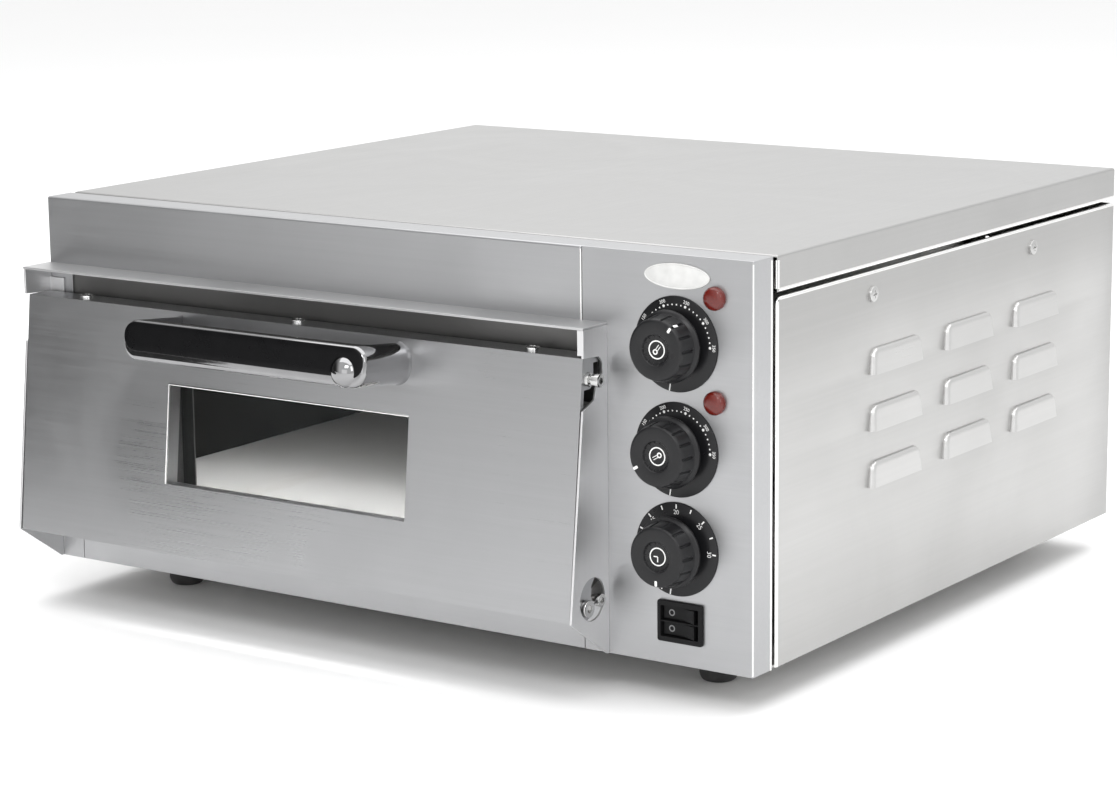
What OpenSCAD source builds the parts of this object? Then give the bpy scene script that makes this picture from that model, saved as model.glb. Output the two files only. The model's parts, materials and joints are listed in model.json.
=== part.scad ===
// Countertop electric pizza oven: single stone deck, bottom hinged glass door,
// control column on the right, pressed louvres on the right side panel.
// X runs to the right, Y to the back, Z up. The origin is under the middle of the
// whole object's box, on the surface that the feet stand on.

/* [Cabinet] */
// Width of the cabinet
body_w = 560; // [556:1:566]
// Depth of the cabinet, without handle and gland
body_d = 494; // [490:1:520]
// Height of the cabinet, without feet
body_h = 251; // [250:1:262]
// Thickness of the outer sheet steel
sheet = 1.5; // [1.2:0.1:1.5]
// Depth of the front casing's returns
front_return = 22; // [16:1:24]
// Dark gap between front casing and rear covers
joint_gap = 5; // [2:0.5:5]
// Height of the top cover's side flanges
cover_flange = 22; // [18:1:24]
// Width of the control column
control_w = 120.5; // [119:0.5:122]

/* [Chamber] */
// Width inside the baking chamber
chamber_w = 400; // [390:1:402]
// Depth inside the baking chamber
chamber_d = 412; // [408:1:420]
// Underside of the baking chamber above the cabinet's underside
chamber_z = 26; // [25:0.5:27]
// Height inside the baking chamber, heaters included
chamber_h = 152; // [150:1:153]
// Thickness of the liner sheet
liner = 1.2; // [0.8:0.1:1.2]
// Thickness of the stone deck
stone_t = 12; // [10:0.5:12]

/* [Door] */
// Height of the skirt below the door
skirt_h = 27; // [24:1:27]
// Height of the hood ledge's underside
ledge_z = 204.5; // [204:0.5:208]
// How far the hood ledge stands forward
ledge_d = 26; // [24:1:28]
// How far the door's lower edge stands forward
door_foot = 40; // [39:0.5:41]
// How far the door's top edge stands forward
door_head = 23; // [22.5:0.5:24]
// Height of the door, edge to edge
door_h = 160; // [158:1:161]
// Opening angle of the door
door_travel = 90; // [80:1:90]
// Radius of the hinge bolts
pivot_r = 4; // [3.5:0.5:4]
// Window width
window_w = 198; // [160:1:210]
// Window height
window_h = 66.6; // [50:0.1:70]

/* [Handle] */
// Length of the handle
handle_w = 199; // [150:1:220]
// Height of the handle's bar
handle_h = 28; // [26:0.5:30]
// How far the handle stands off the door
handle_off = 47; // [40:1:48]

/* [Controls] */
// Radius of a control knob's skirt
knob_r = 22; // [20:0.5:23]
// How far a knob's face stands forward
knob_off = 24; // [22:1:28]
// Radius of a printed dial ring
dial_r = 29; // [27:0.5:30]
// Number of grip flutes on a knob
flutes = 14; // [10:1:18]

/* [Feet] */
// Height of a rubber foot
foot_h = 25; // [24:1:34]
// Radius of a rubber foot
foot_r = 13; // [11:0.5:14]

/* [Hidden] */
$fn = 48;
slack = 0.3;

// Cabinet planes
left = -body_w / 2;
right = body_w / 2;
seam = right - control_w;
stile = 20.5;
cover_y = front_return + joint_gap;
panel_top = body_h - cover_flange - 3;
cheek_x = seam + 18;

// Overall box and origin
louver_out = 4;
louver_w = 66;
louver_h = 16.5;
side_screw_ys = [142, 364];
screw_out = 2.5;
gland_out = 4.5;
lean = atan((door_foot - door_head) / door_h);
slope_len = door_h / cos(lean);
bar_s = 0.9 * slope_len;
stud_at = [handle_w / 2 - 17.5, -3.4];
stud_r = 10.8;
stud_out = 5;
stud_y = stud_r - stud_out - handle_off;
front_reach = door_foot - (bar_s + stud_at[1]) * sin(lean) - stud_y * cos(lean) + stud_r;
mid_x = (louver_out - screw_out) / 2;
mid_y = (body_d + gland_out - front_reach) / 2;

// Chamber
cham_l = left + 29;
cham_r = cham_l + chamber_w;
cham_y = 3;
cham_b = cham_y + chamber_d;
cham_t = chamber_z + chamber_h;
stone_z = chamber_z + 15;
sill_z = stone_z + stone_t + 5;
bulkhead = cham_r + 15;
heater_r = 3.4;
heater_turn = 32;
heater_ys = [85, 215, 345];
upper_z = cham_t - 18;
lower_z = chamber_z + 7;
probe_zs = [cham_t - 34, stone_z + stone_t + 24];
probe_y = 60;
probe_x = cham_r - 5;

// Door
pivot = [-22.5, 33];
stop_at = [-9.2, 35.5];
door_l = left + 2.2;
door_r = cheek_x - 2.2;
door_mid = (door_l + door_r) / 2;
door_top = skirt_h + door_h;
door_back = -4;
liner_z = 42;
win_s = 46.4;
glass_t = 4;
reveal = 12;
leg = 11;
pin_y = -19;
pin_z = 174;

// Controls
dial_x = right - 53;
dial_zs = [197.3, 133.3, 72.2];
skirt_off = 8.5;
lamp_x = right - 26;
lamp_zs = [227, 164.5];
lamp_r = 7.1;
badge = [right - 52.4, 238];
spindle_r = 3;
switch_x = right - 50.5;
switch_z = 27;
rocker_gap = 0.9;
rocker_l = 12;
rocker_t = 8.4;
rocker_tilt = 9;
foot_xs = [left + 61, right - 61];
foot_ys = [60, body_d - 60];

// ---------- helpers ----------
module place() { translate([-mid_x, -mid_y, foot_h]) children(); }

// Box from its lowest to its highest corner
module span(lo, hi) { translate(lo) cube(hi - lo); }

// Cylinder along X, Y or Z from a point
module rod_x(p, r, l) { translate(p) rotate([0, 90, 0]) cylinder(r = r, h = l); }
module rod_y(p, r, l) { translate(p) rotate([-90, 0, 0]) cylinder(r = r, h = l); }
module rod_z(p, r, l) { translate(p) cylinder(r = r, h = l); }

// Side profile in Y and Z, extruded along X
module profile_x(x, w) {
  translate([x, 0, 0]) rotate([90, 0, 90]) linear_extrude(w) children();
}

// The door's own slope: z runs up the door, y into it, from its lower front edge
module on_slope() { translate([0, -door_foot, skirt_h]) rotate([-lean, 0, 0]) children(); }

// Rectangle with round corners
module round_rect(w, h, r) {
  square([w - 2 * r, h], center = true);
  square([w, h - 2 * r], center = true);
  for (sx = [-1, 1], sy = [-1, 1])
    translate([sx * (w / 2 - r), sy * (h / 2 - r)]) circle(r);
}

// Rectangular ring in X and Z, with a thickness along Y
module ring_y(lo, hi, inset, y, t) {
  difference() {
    span([lo[0], y, lo[1]], [hi[0], y + t, hi[1]]);
    span([lo[0] + inset, y - 1, lo[1] + inset], [hi[0] - inset, y + t + 1, hi[1] - inset]);
  }
}

// Y of the door's front face at a height
function door_y(z) = -door_foot + (z - skirt_h) * tan(lean);

// ---------- cabinet ----------
module base_pan() {
  edge = sheet + 0.2;
  color("silver") place() difference() {
    union() {
      span([left + edge, edge, 0], [right - edge, body_d - edge, sheet]);
      for (x = [left + edge, right - edge - sheet])
        span([x, cover_y, 0], [x + sheet, body_d - edge, 14]);
      span([left + edge, body_d - edge - sheet, 0], [right - edge, body_d - edge, 14]);
    }
    for (x = foot_xs, y = foot_ys) rod_z([x, y, -1], 2.7, 5);
    for (y = [150 : 40 : 350]) span([right - 95, y, -1], [right - 35, y + 5, 5]);
  }
}

// Front sheet with a return on top and at its left side, around the door opening
module front_fascia() {
  x1 = seam - 0.4;
  color("gainsboro") place() {
    span([left, 0, ledge_z], [x1, sheet, body_h]);
    span([left, 0, 0], [left + stile, sheet, ledge_z]);
    span([left, sheet, body_h - sheet], [x1, front_return, body_h]);
    span([left, sheet, 0], [left + sheet, front_return, body_h - sheet]);
    span([x1 - sheet, sheet, ledge_z], [x1, 12, body_h - sheet]);
  }
}

module lower_skirt() {
  x0 = left + stile + 0.4;
  color("gainsboro") place() span([x0, 0, 0], [seam - 0.4, sheet, skirt_h]);
}

module control_panel() {
  color("gainsboro") place() difference() {
    union() {
      span([seam, 0, 0], [right, sheet, body_h]);
      span([seam, sheet, body_h - sheet], [right, front_return, body_h]);
      span([right - sheet, sheet, 0], [right, front_return, body_h - sheet]);
      span([seam, sheet, cham_t + 6], [seam + sheet, 12, body_h - sheet]);
    }
    for (z = dial_zs) rod_y([dial_x, -1, z], 5.2, 4);
    for (z = lamp_zs) rod_y([lamp_x, -1, z], 6.2, 4);
    span([switch_x - 14.2, -1, switch_z - 10.6], [switch_x + 14.2, 4, switch_z + 10.6]);
    for (z = [34, 46]) rod_y([cheek_x - 12, -1, z], 1.6, 4);
  }
}

module top_cover() {
  color("lightgray") place() {
    span([left, cover_y, body_h - sheet], [right, body_d, body_h]);
    for (x = [left, right - sheet])
      span([x, cover_y, body_h - cover_flange], [x + sheet, body_d, body_h - sheet]);
    span([left + sheet, body_d - sheet, body_h - cover_flange],
      [right - sheet, body_d, body_h - sheet]);
  }
}

// One pressed louvre, mouth downward, standing out of a panel at x = 0
module louver_shell(w, h) {
  rotate([90, 0, 0]) translate([0, 0, -w / 2]) linear_extrude(w)
    polygon([[0, h], [louver_out, h * 0.3], [louver_out, 0], [0, 0]]);
}

module louver_hollow(w, h) {
  t = 1.2;
  rotate([90, 0, 0]) translate([0, 0, t - w / 2]) linear_extrude(w - 2 * t)
    polygon([[-2, h - 2 * t], [0, h - 2 * t], [louver_out - t, h * 0.3 - t / 2],
      [louver_out - t, -1], [-sheet - 1, -1], [-sheet - 1, h - 2 * t]]);
}

module at_louvers() {
  for (i = [0 : 2], j = [0 : 2])
    translate([right, 172 + i * 98.5, 88.8 + j * 36]) children();
}

module side_panel_right() {
  color("lightgray") place() difference() {
    union() {
      span([right - sheet, cover_y, 0], [right, body_d, panel_top]);
      at_louvers() louver_shell(louver_w, louver_h);
    }
    at_louvers() louver_hollow(louver_w, louver_h);
    for (y = side_screw_ys) rod_x([right - 4, y, 211.5], 2.2, 6);
  }
}

module side_panel_left() {
  color("lightgray") place() difference() {
    span([left, cover_y, 0], [left + sheet, body_d, panel_top]);
    for (y = side_screw_ys) rod_x([left - 2, y, 211.5], 2.2, 6);
  }
}

module rear_panel() {
  color("lightgray") place() difference() {
    span([left + sheet + 0.2, body_d - sheet, 0],
      [right - sheet - 0.2, body_d, panel_top]);
    for (i = [0 : 9])
      span([right - 100 + i * 8, body_d - 4, 150], [right - 97 + i * 8, body_d + 1, 195]);
    rod_y([right - 55, body_d - 4, 45], 9.1, 6);
    for (x = [left + 30, 0, right - 30], z = [20, 205]) rod_y([x, body_d - 4, z], 2.2, 6);
  }
}

module hood_ledge() {
  color("silver") place() {
    span([left, -ledge_d, ledge_z], [cheek_x, 0, ledge_z + sheet]);
  }
}

// Side cheek of the door surround: hook notch open to the front, hinge window below
module cheek_sheet() {
  front = ledge_d - 0.5;
  difference() {
    polygon([[0, ledge_z - 0.1], [-front, ledge_z - 0.1], [-front, 187.5], [-9, 186.5], [-5, 182],
      [-5, 175], [-11, 172], [-14, 161], [-26.4, 155.4], [-41, skirt_h], [-37.5, 24.5],
      [-2, 0], [0, 0]]);
    translate([-18, 38]) circle(13.5);
  }
}

module cheek(x, tab_x) {
  profile_x(x, sheet) cheek_sheet();
  span([tab_x, -sheet, 62], [tab_x + 12, 0, 196]);
}

module cheek_right() {
  color("gainsboro") place() {
    cheek(cheek_x - sheet, cheek_x - sheet - 12);
    span([cheek_x - 4.5, 0.5 - ledge_d, 189], [cheek_x - sheet, 2 - ledge_d, ledge_z - 0.1]);
  }
}

module cheek_left() { color("gainsboro") place() cheek(left, left + sheet); }

// Hinge bracket: an ear that carries the hinge bolt, and a foot on the front sheet
module bracket(x, foot_x) {
  t = 3.5;
  difference() {
    union() {
      rod_x([x, pivot[0], pivot[1]], 7.5, t);
      profile_x(x, t)
        polygon([[pivot[0], pivot[1] - 2], [0, pivot[1] - 2], [0, 48], [pivot[0] + 5, 38]]);
      span([foot_x, -2, pivot[1] - 2], [foot_x + 9, 0, 48]);
    }
    rod_x([x - 1, pivot[0], pivot[1]], pivot_r, t + 2);
    rod_x([x - 1, stop_at[0], stop_at[1]], 3, t + 2);
  }
}

module hinge_brackets() {
  color("dimgray") place() {
    bracket(door_r - 7.3, door_r - 13);
    bracket(door_l + 3.8, door_l + 4);
  }
}

// Hinge bolts: shank through the door's flange, head outside it
module pivot_bolts() {
  color("whitesmoke") place() {
    rod_x([door_r - 7.3, pivot[0], pivot[1]], pivot_r, 8);
    rod_x([door_r + slack, pivot[0], pivot[1]], 5.5, 2.9);
    rod_x([door_l - 0.7, pivot[0], pivot[1]], pivot_r, 8);
    rod_x([left - 1.3, pivot[0], pivot[1]], 5.5, 3.2);
  }
}

module stop_bolts() {
  color("whitesmoke") place() {
    rod_x([door_r - 7.3, stop_at[0], stop_at[1]], 3, 8);
    rod_x([door_r + slack, stop_at[0], stop_at[1]], 4, 2.9);
    rod_x([left - 1.3, stop_at[0], stop_at[1]], 4, 3.2);
    rod_x([left + 1.9, stop_at[0], stop_at[1]], 3, 7.6);
  }
}

// ---------- baking chamber ----------
module mouth_frame() {
  color("darkgray") place() difference() {
    span([left + stile - 4, sheet, 16], [seam - 0.4, cham_y, ledge_z + 4]);
    span([cham_l, 0, sill_z], [cham_r, cham_y + 1, cham_t]);
    span([seam - 2.2, 0, cham_t + 5], [seam + 1, cham_y + 1, body_h]);
  }
}

// Heater, probe and lamp passages through the chamber's right side
module side_passages(x, l, extra) {
  for (y = heater_ys, s = [-1, 1], z = [upper_z, lower_z])
    rod_x([x, y + s * heater_turn, z], heater_r + extra, l);
  for (z = probe_zs) rod_x([x, probe_y, z], 1 + extra, l);
}

module chamber_liner() {
  color("darkgray") place() difference() {
    span([cham_l - liner, cham_y, chamber_z - liner], [cham_r + liner, cham_b + liner, cham_t + liner]);
    span([cham_l, cham_y - 1, chamber_z], [cham_r, cham_b, cham_t]);
    side_passages(cham_r - 2, 6, 0.3);
  }
}

module partition() {
  color("silver") place() difference() {
    span([bulkhead, cover_y, sheet + 0.1], [bulkhead + liner, body_d - 6, body_h - 6]);
    side_passages(bulkhead - 2, 6, 0.3);
  }
}

module deck_stone() {
  color("tan") place()
    span([cham_l + 1.5, cham_y + 2, stone_z], [cham_r - 1.5, cham_b - 4, stone_z + stone_t]);
}

module deck_rails() {
  w = 12;
  color("darkgray") place() {
    for (s = [0, 1]) {
      x = s == 0 ? cham_l : cham_r - w;
      e = s == 0 ? cham_l : cham_r - liner;
      span([x, cham_y + 2, stone_z - liner], [x + w, cham_b - 4, stone_z]);
      difference() {
        span([e, cham_y + 2, chamber_z], [e + liner, cham_b - 4, stone_z - liner]);
        side_passages(cham_r - 3, 6, 0.3);
      }
    }
  }
}

// Hairpin tubular element lying flat, its two legs leaving to the right
module hairpin(y, z) {
  x0 = cham_l + 60;
  x1 = bulkhead + 14;
  translate([x0, y, z]) rotate([0, 0, 90]) rotate_extrude(angle = 180)
    translate([heater_turn, 0]) circle(heater_r);
  for (s = [-1, 1]) {
    rod_x([x0, y + s * heater_turn, z], heater_r, x1 - x0);
    rod_x([x1, y + s * heater_turn, z], 1.8, 10);
  }
}

module upper_heaters() { color("dimgray") place() for (y = heater_ys) hairpin(y, upper_z); }

module lower_heaters() { color("dimgray") place() for (y = heater_ys) hairpin(y, lower_z); }

// ---------- insulation ----------
module insulation_top() {
  color("khaki") place()
    span([cham_l - liner, cover_y, cham_t + liner], [cham_r + liner, cham_b + liner, body_h - 3]);
}

module insulation_bottom() {
  color("khaki") place()
    span([cham_l - liner, 8, sheet + 6], [cham_r + liner, cham_b + liner, chamber_z - liner]);
}

module insulation_sides() {
  color("khaki") place() {
    span([left + 9, cover_y, 16], [cham_l - liner, cham_b + liner, body_h - 26]);
    difference() {
      span([cham_r + liner, 14, 16], [bulkhead, cham_b + liner, body_h - 26]);
      side_passages(cham_r, 20, 0.4);
    }
  }
}

module insulation_rear() {
  color("khaki") place()
    span([left + 4, cham_b + liner, 16], [bulkhead, body_d - 6, body_h - 26]);
}

// ---------- electrical parts ----------
module thermostat(z) {
  difference() {
    union() {
      span([dial_x - 17, sheet, z - 20], [dial_x + 17, 36, z + 20]);
      rod_y([dial_x, -1.2, z], 5, 1.2 + sheet);
    }
    rod_y([dial_x, -2, z], spindle_r + 0.05, 30);
  }
}

module thermostat_bodies() {
  color("ivory") place() for (i = [0, 1]) thermostat(dial_zs[i]);
}

// Sensing bulb inside the chamber, its capillary led to the back of a thermostat
module probe(i) {
  z = probe_zs[i];
  x1 = dial_x - 8 + i * 16;
  rod_y([probe_x, probe_y, z], 3, 95);
  rod_x([probe_x, probe_y, z], 1, x1 - probe_x);
  translate([x1, probe_y, z]) sphere(1);
  rod_z([x1, probe_y, min(z, dial_zs[i])], 1, abs(z - dial_zs[i]));
  translate([x1, probe_y, dial_zs[i]]) sphere(1);
  rod_y([x1, 36, dial_zs[i]], 1, probe_y - 36);
}

module thermostat_probes() { color("peru") place() for (i = [0, 1]) probe(i); }

module timer_body() {
  z = dial_zs[2];
  color("whitesmoke") place() difference() {
    union() {
      span([dial_x - 22, sheet, z - 22], [dial_x + 22, 34, z + 22]);
      rod_y([dial_x, -1.2, z], 5, 1.2 + sheet);
    }
    rod_y([dial_x, -2, z], spindle_r + 0.05, 30);
  }
}

module terminal_block() {
  x = right - 75;
  y = body_d - 45;
  color("ivory") place() difference() {
    span([x, y, sheet], [x + 44, y + 20, sheet + 20]);
    for (i = [0 : 2]) rod_z([x + 8 + i * 14, y + 10, 12], 3.5, 20);
    for (i = [0 : 2]) rod_y([x + 8 + i * 14, y - 1, 8], 2.4, 22);
  }
}

// Cable inlet bush in the rear panel
module cable_gland() {
  color("black") place() difference() {
    union() {
      rod_y([right - 55, body_d, 45], 13, gland_out);
      rod_y([right - 55, body_d - 14, 45], 9, 14);
    }
    rod_y([right - 55, body_d - 15, 45], 5, 25);
  }
}

module lamp_lenses() {
  color("firebrick") place() for (z = lamp_zs) {
    rod_y([lamp_x, -3, z], lamp_r, 3);
    rod_y([lamp_x, -5, z], lamp_r - 2, 2);
  }
}

module lamp_bodies() {
  color("white") place() for (z = lamp_zs) {
    rod_y([lamp_x, 0, z], 6, 20);
    for (s = [-1, 1]) span([lamp_x + s * 3 - 0.4, 20, z - 2], [lamp_x + s * 3 + 0.4, 27, z + 2]);
  }
}

module switch_housing() {
  w = 32;
  h = 25.8;
  c = 13.3;
  color("black") place() translate([switch_x, 0, switch_z]) {
    difference() {
      union() {
        span([-w / 2, -2.2, -h / 2], [w / 2, 0, h / 2]);
        span([-14, 0, -10.4], [14, 20, 10.4]);
      }
      for (s = [-1, 1]) {
        z0 = s < 0 ? -rocker_gap / 2 - 9 : rocker_gap / 2;
        span([-c, -3, z0], [c, 14, z0 + 9]);
      }
    }
    rod_z([0, 5, -10], 1.5, 20);
  }
}

module badge_plate() {
  color("whitesmoke") place() translate([badge[0], 0, badge[1]])
    rotate([90, 0, 0]) linear_extrude(1.2) {
      square([30, 15.6], center = true);
      for (s = [-1, 1]) translate([s * 15, 0]) circle(7.8);
    }
}

module dial_rings() {
  color("dimgray") place() for (z = dial_zs) difference() {
    rod_y([dial_x, -1.2, z], dial_r, 1.2);
    rod_y([dial_x, -2, z], 5.2, 4);
  }
}

// ---------- feet and fasteners ----------
module rubber_feet() {
  color("black") place() for (x = foot_xs, y = foot_ys) difference() {
    union() {
      translate([x, y, -foot_h]) cylinder(r1 = foot_r - 3.5, r2 = foot_r - 0.8, h = 5);
      translate([x, y, 5 - foot_h]) cylinder(r1 = foot_r - 0.8, r2 = foot_r, h = foot_h - 5);
    }
    rod_z([x, y, -foot_h - 1], 2.6, foot_h + 2);
    rod_z([x, y, -foot_h - 1], 5.5, 13);
  }
}

module foot_screws() {
  color("silver") place() for (x = foot_xs, y = foot_ys) {
    rod_z([x, y, 9 - foot_h], 4.8, 3);
    rod_z([x, y, 12 - foot_h], 2.5, foot_h - 5);
    translate([x, y, sheet]) cylinder(r = 5, h = 4, $fn = 6);
  }
}

module panel_screws() {
  color("silver") place() {
    for (y = side_screw_ys) {
      rod_x([right - 8, y, 211.5], 2.1, 8);
      rod_x([right, y, 211.5], 5, screw_out);
      rod_x([left, y, 211.5], 2.1, 8);
      rod_x([left - screw_out, y, 211.5], 5, screw_out);
    }
    for (x = [left + 30, 0, right - 30], z = [20, 205]) {
      rod_y([x, body_d - 5.8, z], 2.1, 5.8);
      rod_y([x, body_d, z], 4.5, screw_out);
    }
  }
}

// ---------- door ----------
module door_side(x) {
  difference() {
    union() {
      profile_x(x, sheet) polygon([[-door_foot, skirt_h], [-door_head, door_top],
        [door_back - 0.5, door_top], [door_back - 0.5, 60], [-16, 46], [-17, 27]]);
      rod_x([x, pivot[0], pivot[1]], 8, sheet);
    }
    rod_x([x - 1, pivot[0], pivot[1]], pivot_r + 0.06, sheet + 2);
    profile_x(x - 1, sheet + 2) polygon([[-12, 183], [-12, 171], [-15.5, 167.5],
      [-22, 167.5], [-23, 158], [-5.5, 158], [-5.5, 183]]);
  }
}

// Front sheet with its top and bottom flanges, as one folded section
module door_section() {
  back = door_back - 0.5;
  tx = sheet / cos(lean);
  polygon([[-door_foot, skirt_h], [-door_head, door_top], [back, door_top],
    [back, door_top - sheet], [door_y(door_top - sheet) + tx, door_top - sheet],
    [door_y(skirt_h + sheet) + tx, skirt_h + sheet], [-32, skirt_h + sheet], [-32, skirt_h]]);
}

module door_outer_panel() {
  color("silver") place() difference() {
    union() {
      door_side(door_l);
      door_side(door_r - sheet);
      profile_x(door_l + sheet, door_r - door_l - 2 * sheet) door_section();
    }
    on_slope() translate([door_mid, 0, win_s + window_h / 2])
      span([-window_w / 2, -2, -window_h / 2], [window_w / 2, 5, window_h / 2]);
    on_slope() for (s = [-1, 1])
      rod_y([door_mid + s * (handle_w - leg) / 2, -2, bar_s], 2.7, 6);
    for (i = [-1 : 1]) rod_z([door_mid + i * 183, -13, door_top - 5], 2.1, 8);
    rod_x([door_r - 5, pin_y, pin_z], 2.6, 8);
  }
}

module door_inner_liner() {
  x0 = door_l + sheet + 0.1;
  x1 = door_r - sheet - 0.1;
  z1 = door_top - sheet - 0.1;
  gx = window_w / 2;
  color("silver") place() difference() {
    union() {
      span([x0, door_back - liner, liner_z + 8], [x1, door_back, z1]);
      ring_y([x0, liner_z + 8], [x1, z1], liner, door_back - 12, 12 - liner);
    }
    span([door_mid - gx, door_back - 4, 64], [door_mid + gx, 1, 138]);
    for (i = [-1 : 1]) rod_z([door_mid + i * 183, -13, z1 - 5], 2.1, 8);
    for (x = [x0 - 1, x1 - 4]) span([x, -17, 157], [x + 5, door_back - liner - 0.1, 184]);
  }
}

module door_insulation() {
  x0 = door_l + 4;
  x1 = door_r - 4;
  z0 = liner_z + 10;
  z1 = door_top - 4;
  yb = door_back - liner - 0.1;
  gap = sheet / cos(lean) + 0.3;
  color("khaki") place() difference() {
    profile_x(x0, x1 - x0)
      polygon([[door_y(z0) + gap, z0], [door_y(z1) + gap, z1], [yb, z1], [yb, z0]]);
    span([door_mid - window_w / 2 - 10, -60, z0 - 1],
      [door_mid + window_w / 2 + 10, 0, 154]);
    on_slope() for (s = [-1, 1])
      rod_y([door_mid + s * (handle_w - leg) / 2, 0, bar_s], 6, 8);
    for (i = [-1 : 1]) rod_z([door_mid + i * 183, -13, z1 - 6], 2.3, 8);
    for (x = [x0 - 1, x1 - 9]) span([x, -26, 157], [x + 10, 0, 184]);
  }
}

// Folded reveal around the window with a flange that backs the outer pane
module window_frame() {
  w = window_w / 2;
  color("silver") place() on_slope() translate([door_mid, 0, win_s]) {
    ring_y([-w - liner, -liner], [w + liner, window_h + liner], liner, sheet, reveal - sheet - liner);
    ring_y([-w - 8, -8], [w + 8, window_h + 8], 8, reveal - liner, liner);
  }
}

module window_glass() {
  w = window_w / 2 + 6;
  color("lightblue", 0.35) place() {
    on_slope() translate([door_mid, 0, win_s])
      span([-w, reveal, -6], [w, reveal + glass_t, window_h + 6]);
    yb = door_back - liner;
    span([door_mid - w, yb - 2.8, 59], [door_mid + w, yb, 142]);
  }
}

module door_seal() {
  color("gray") place() ring_y([left + stile + 3, liner_z + 9], [seam - 3, cham_t + 5],
    10, door_back, -door_back + sheet - slack);
}

// Outline of the black grip strip on the handle's front
module grip_outline() { translate([0, 2.6]) round_rect(handle_w - 3.2, 19.2, 9); }

// Shallow round seat for the stud in the grip strip and the bow
module stud_seat() {
  rod_y([stud_at[0], -handle_off - 1, stud_at[1]], 9.95, 2.5);
}

// Pull handle: a bar with round ends, cut away behind to leave two legs
module handle_bow() {
  color("gainsboro") place() on_slope() translate([door_mid, 0, bar_s]) difference() {
    rotate([90, 0, 0]) linear_extrude(handle_off - 0.8) round_rect(handle_w, handle_h, 10.5);
    span([leg - handle_w / 2, 13 - handle_off, -handle_h], [handle_w / 2 - leg, 1, handle_h]);
    translate([0, 4 - handle_off, 0]) rotate([90, 0, 0]) linear_extrude(5) grip_outline();
    for (s = [-1, 1]) rod_y([s * (handle_w - leg) / 2, -18, 0], 2.5, 20);
    stud_seat();
  }
}

module handle_grip() {
  color("black") place() on_slope() translate([door_mid, 0, bar_s]) difference() {
    translate([0, 4 - handle_off, 0]) rotate([90, 0, 0]) linear_extrude(4) grip_outline();
    stud_seat();
  }
}

// Domed stud at the grip's right end
module handle_stud() {
  color("whitesmoke") place() on_slope()
    translate([door_mid + stud_at[0], stud_y, bar_s + stud_at[1]]) intersection() {
      sphere(stud_r);
      span([-stud_r, -stud_r - 1, -stud_r], [stud_r, stud_out - stud_r + 1.5, stud_r]);
    }
}

module handle_screws() {
  color("silver") place() on_slope() for (s = [-1, 1])
    translate([door_mid + s * (handle_w - leg) / 2, 0, bar_s]) {
      rod_y([0, -18, 0], 2.5, 20);
      rod_y([0, sheet, 0], 5, 3.5);
    }
}

// Latch pin: nuts either side of the door's flange, socket head at the end
module latch_pin() {
  color("whitesmoke") place() difference() {
    union() {
      rod_x([door_r - 6, pin_y, pin_z], 2.5, 16.3);
      rod_x([door_r, pin_y, pin_z], 4.5, 3);
      rod_x([door_r + 5.5, pin_y, pin_z], 4.2, 4.8);
      intersection() {
        rod_x([door_r - 6, pin_y, pin_z], 5, 4.4);
        span([door_r - 7, pin_y - 3.2, pin_z - 6], [door_r, pin_y + 6, pin_z + 6]);
      }
    }
    rod_x([door_r + 7.5, pin_y, pin_z], 2, 4);
  }
}

module door_screws() {
  color("silver") place() for (i = [-1 : 1]) {
    rod_z([door_mid + i * 183, -13, door_top - 8], 2, 8);
    rod_z([door_mid + i * 183, -13, door_top], 4.5, 2.4);
  }
}

// ---------- controls ----------
// Knob on a collar: skirt at the back, fluted grip, dished face
module knob(z) {
  grip_r = knob_r - 2.5;
  grip_off = skirt_off + 3;
  difference() {
    union() {
      rod_y([dial_x, -knob_off, z], grip_r, knob_off - grip_off);
      rod_y([dial_x, -grip_off, z], knob_r, grip_off - skirt_off);
      rod_y([dial_x, -skirt_off, z], 14, skirt_off - 2);
    }
    for (i = [0 : flutes - 1]) rod_y([dial_x + (grip_r + 2) * cos(i * 360 / flutes),
      -knob_off - 1, z + (grip_r + 2) * sin(i * 360 / flutes)], 2.6, knob_off - grip_off);
    rod_y([dial_x, -knob_off - 1, z], 9, 2.2);
    rod_y([dial_x, -15, z], spindle_r + 0.05, 20);
    rod_y([dial_x, -4, z], 6.5, 4);
  }
}

module spindle(z) { rod_y([dial_x, -15, z], spindle_r, 41); }

module knob_upper() { color("dimgray") place() knob(dial_zs[0]); }

module knob_lower() { color("dimgray") place() knob(dial_zs[1]); }

module knob_timer() { color("dimgray") place() knob(dial_zs[2]); }

module spindle_upper() { color("silver") place() spindle(dial_zs[0]); }

module spindle_lower() { color("silver") place() spindle(dial_zs[1]); }

module spindle_timer() { color("silver") place() spindle(dial_zs[2]); }

// Rocker lying along X, tilted about the switch's upright pin
module rocker(side) {
  z0 = side < 0 ? -rocker_gap / 2 - 8.7 : rocker_gap / 2 + slack;
  translate([switch_x, 5, switch_z + z0]) rotate([0, 0, -rocker_tilt]) difference() {
    linear_extrude(rocker_t)
      polygon([[-rocker_l, -6.2], [0, -4.4], [rocker_l, -6.2], [rocker_l - 2, 2.5],
        [3, 5], [-3, 5], [2 - rocker_l, 2.5]]);
    rod_z([0, 0, -1], 1.56, rocker_t + 2);
  }
}

module rocker_upper() { color("black") place() rocker(1); }

module rocker_lower() { color("black") place() rocker(-1); }

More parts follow.
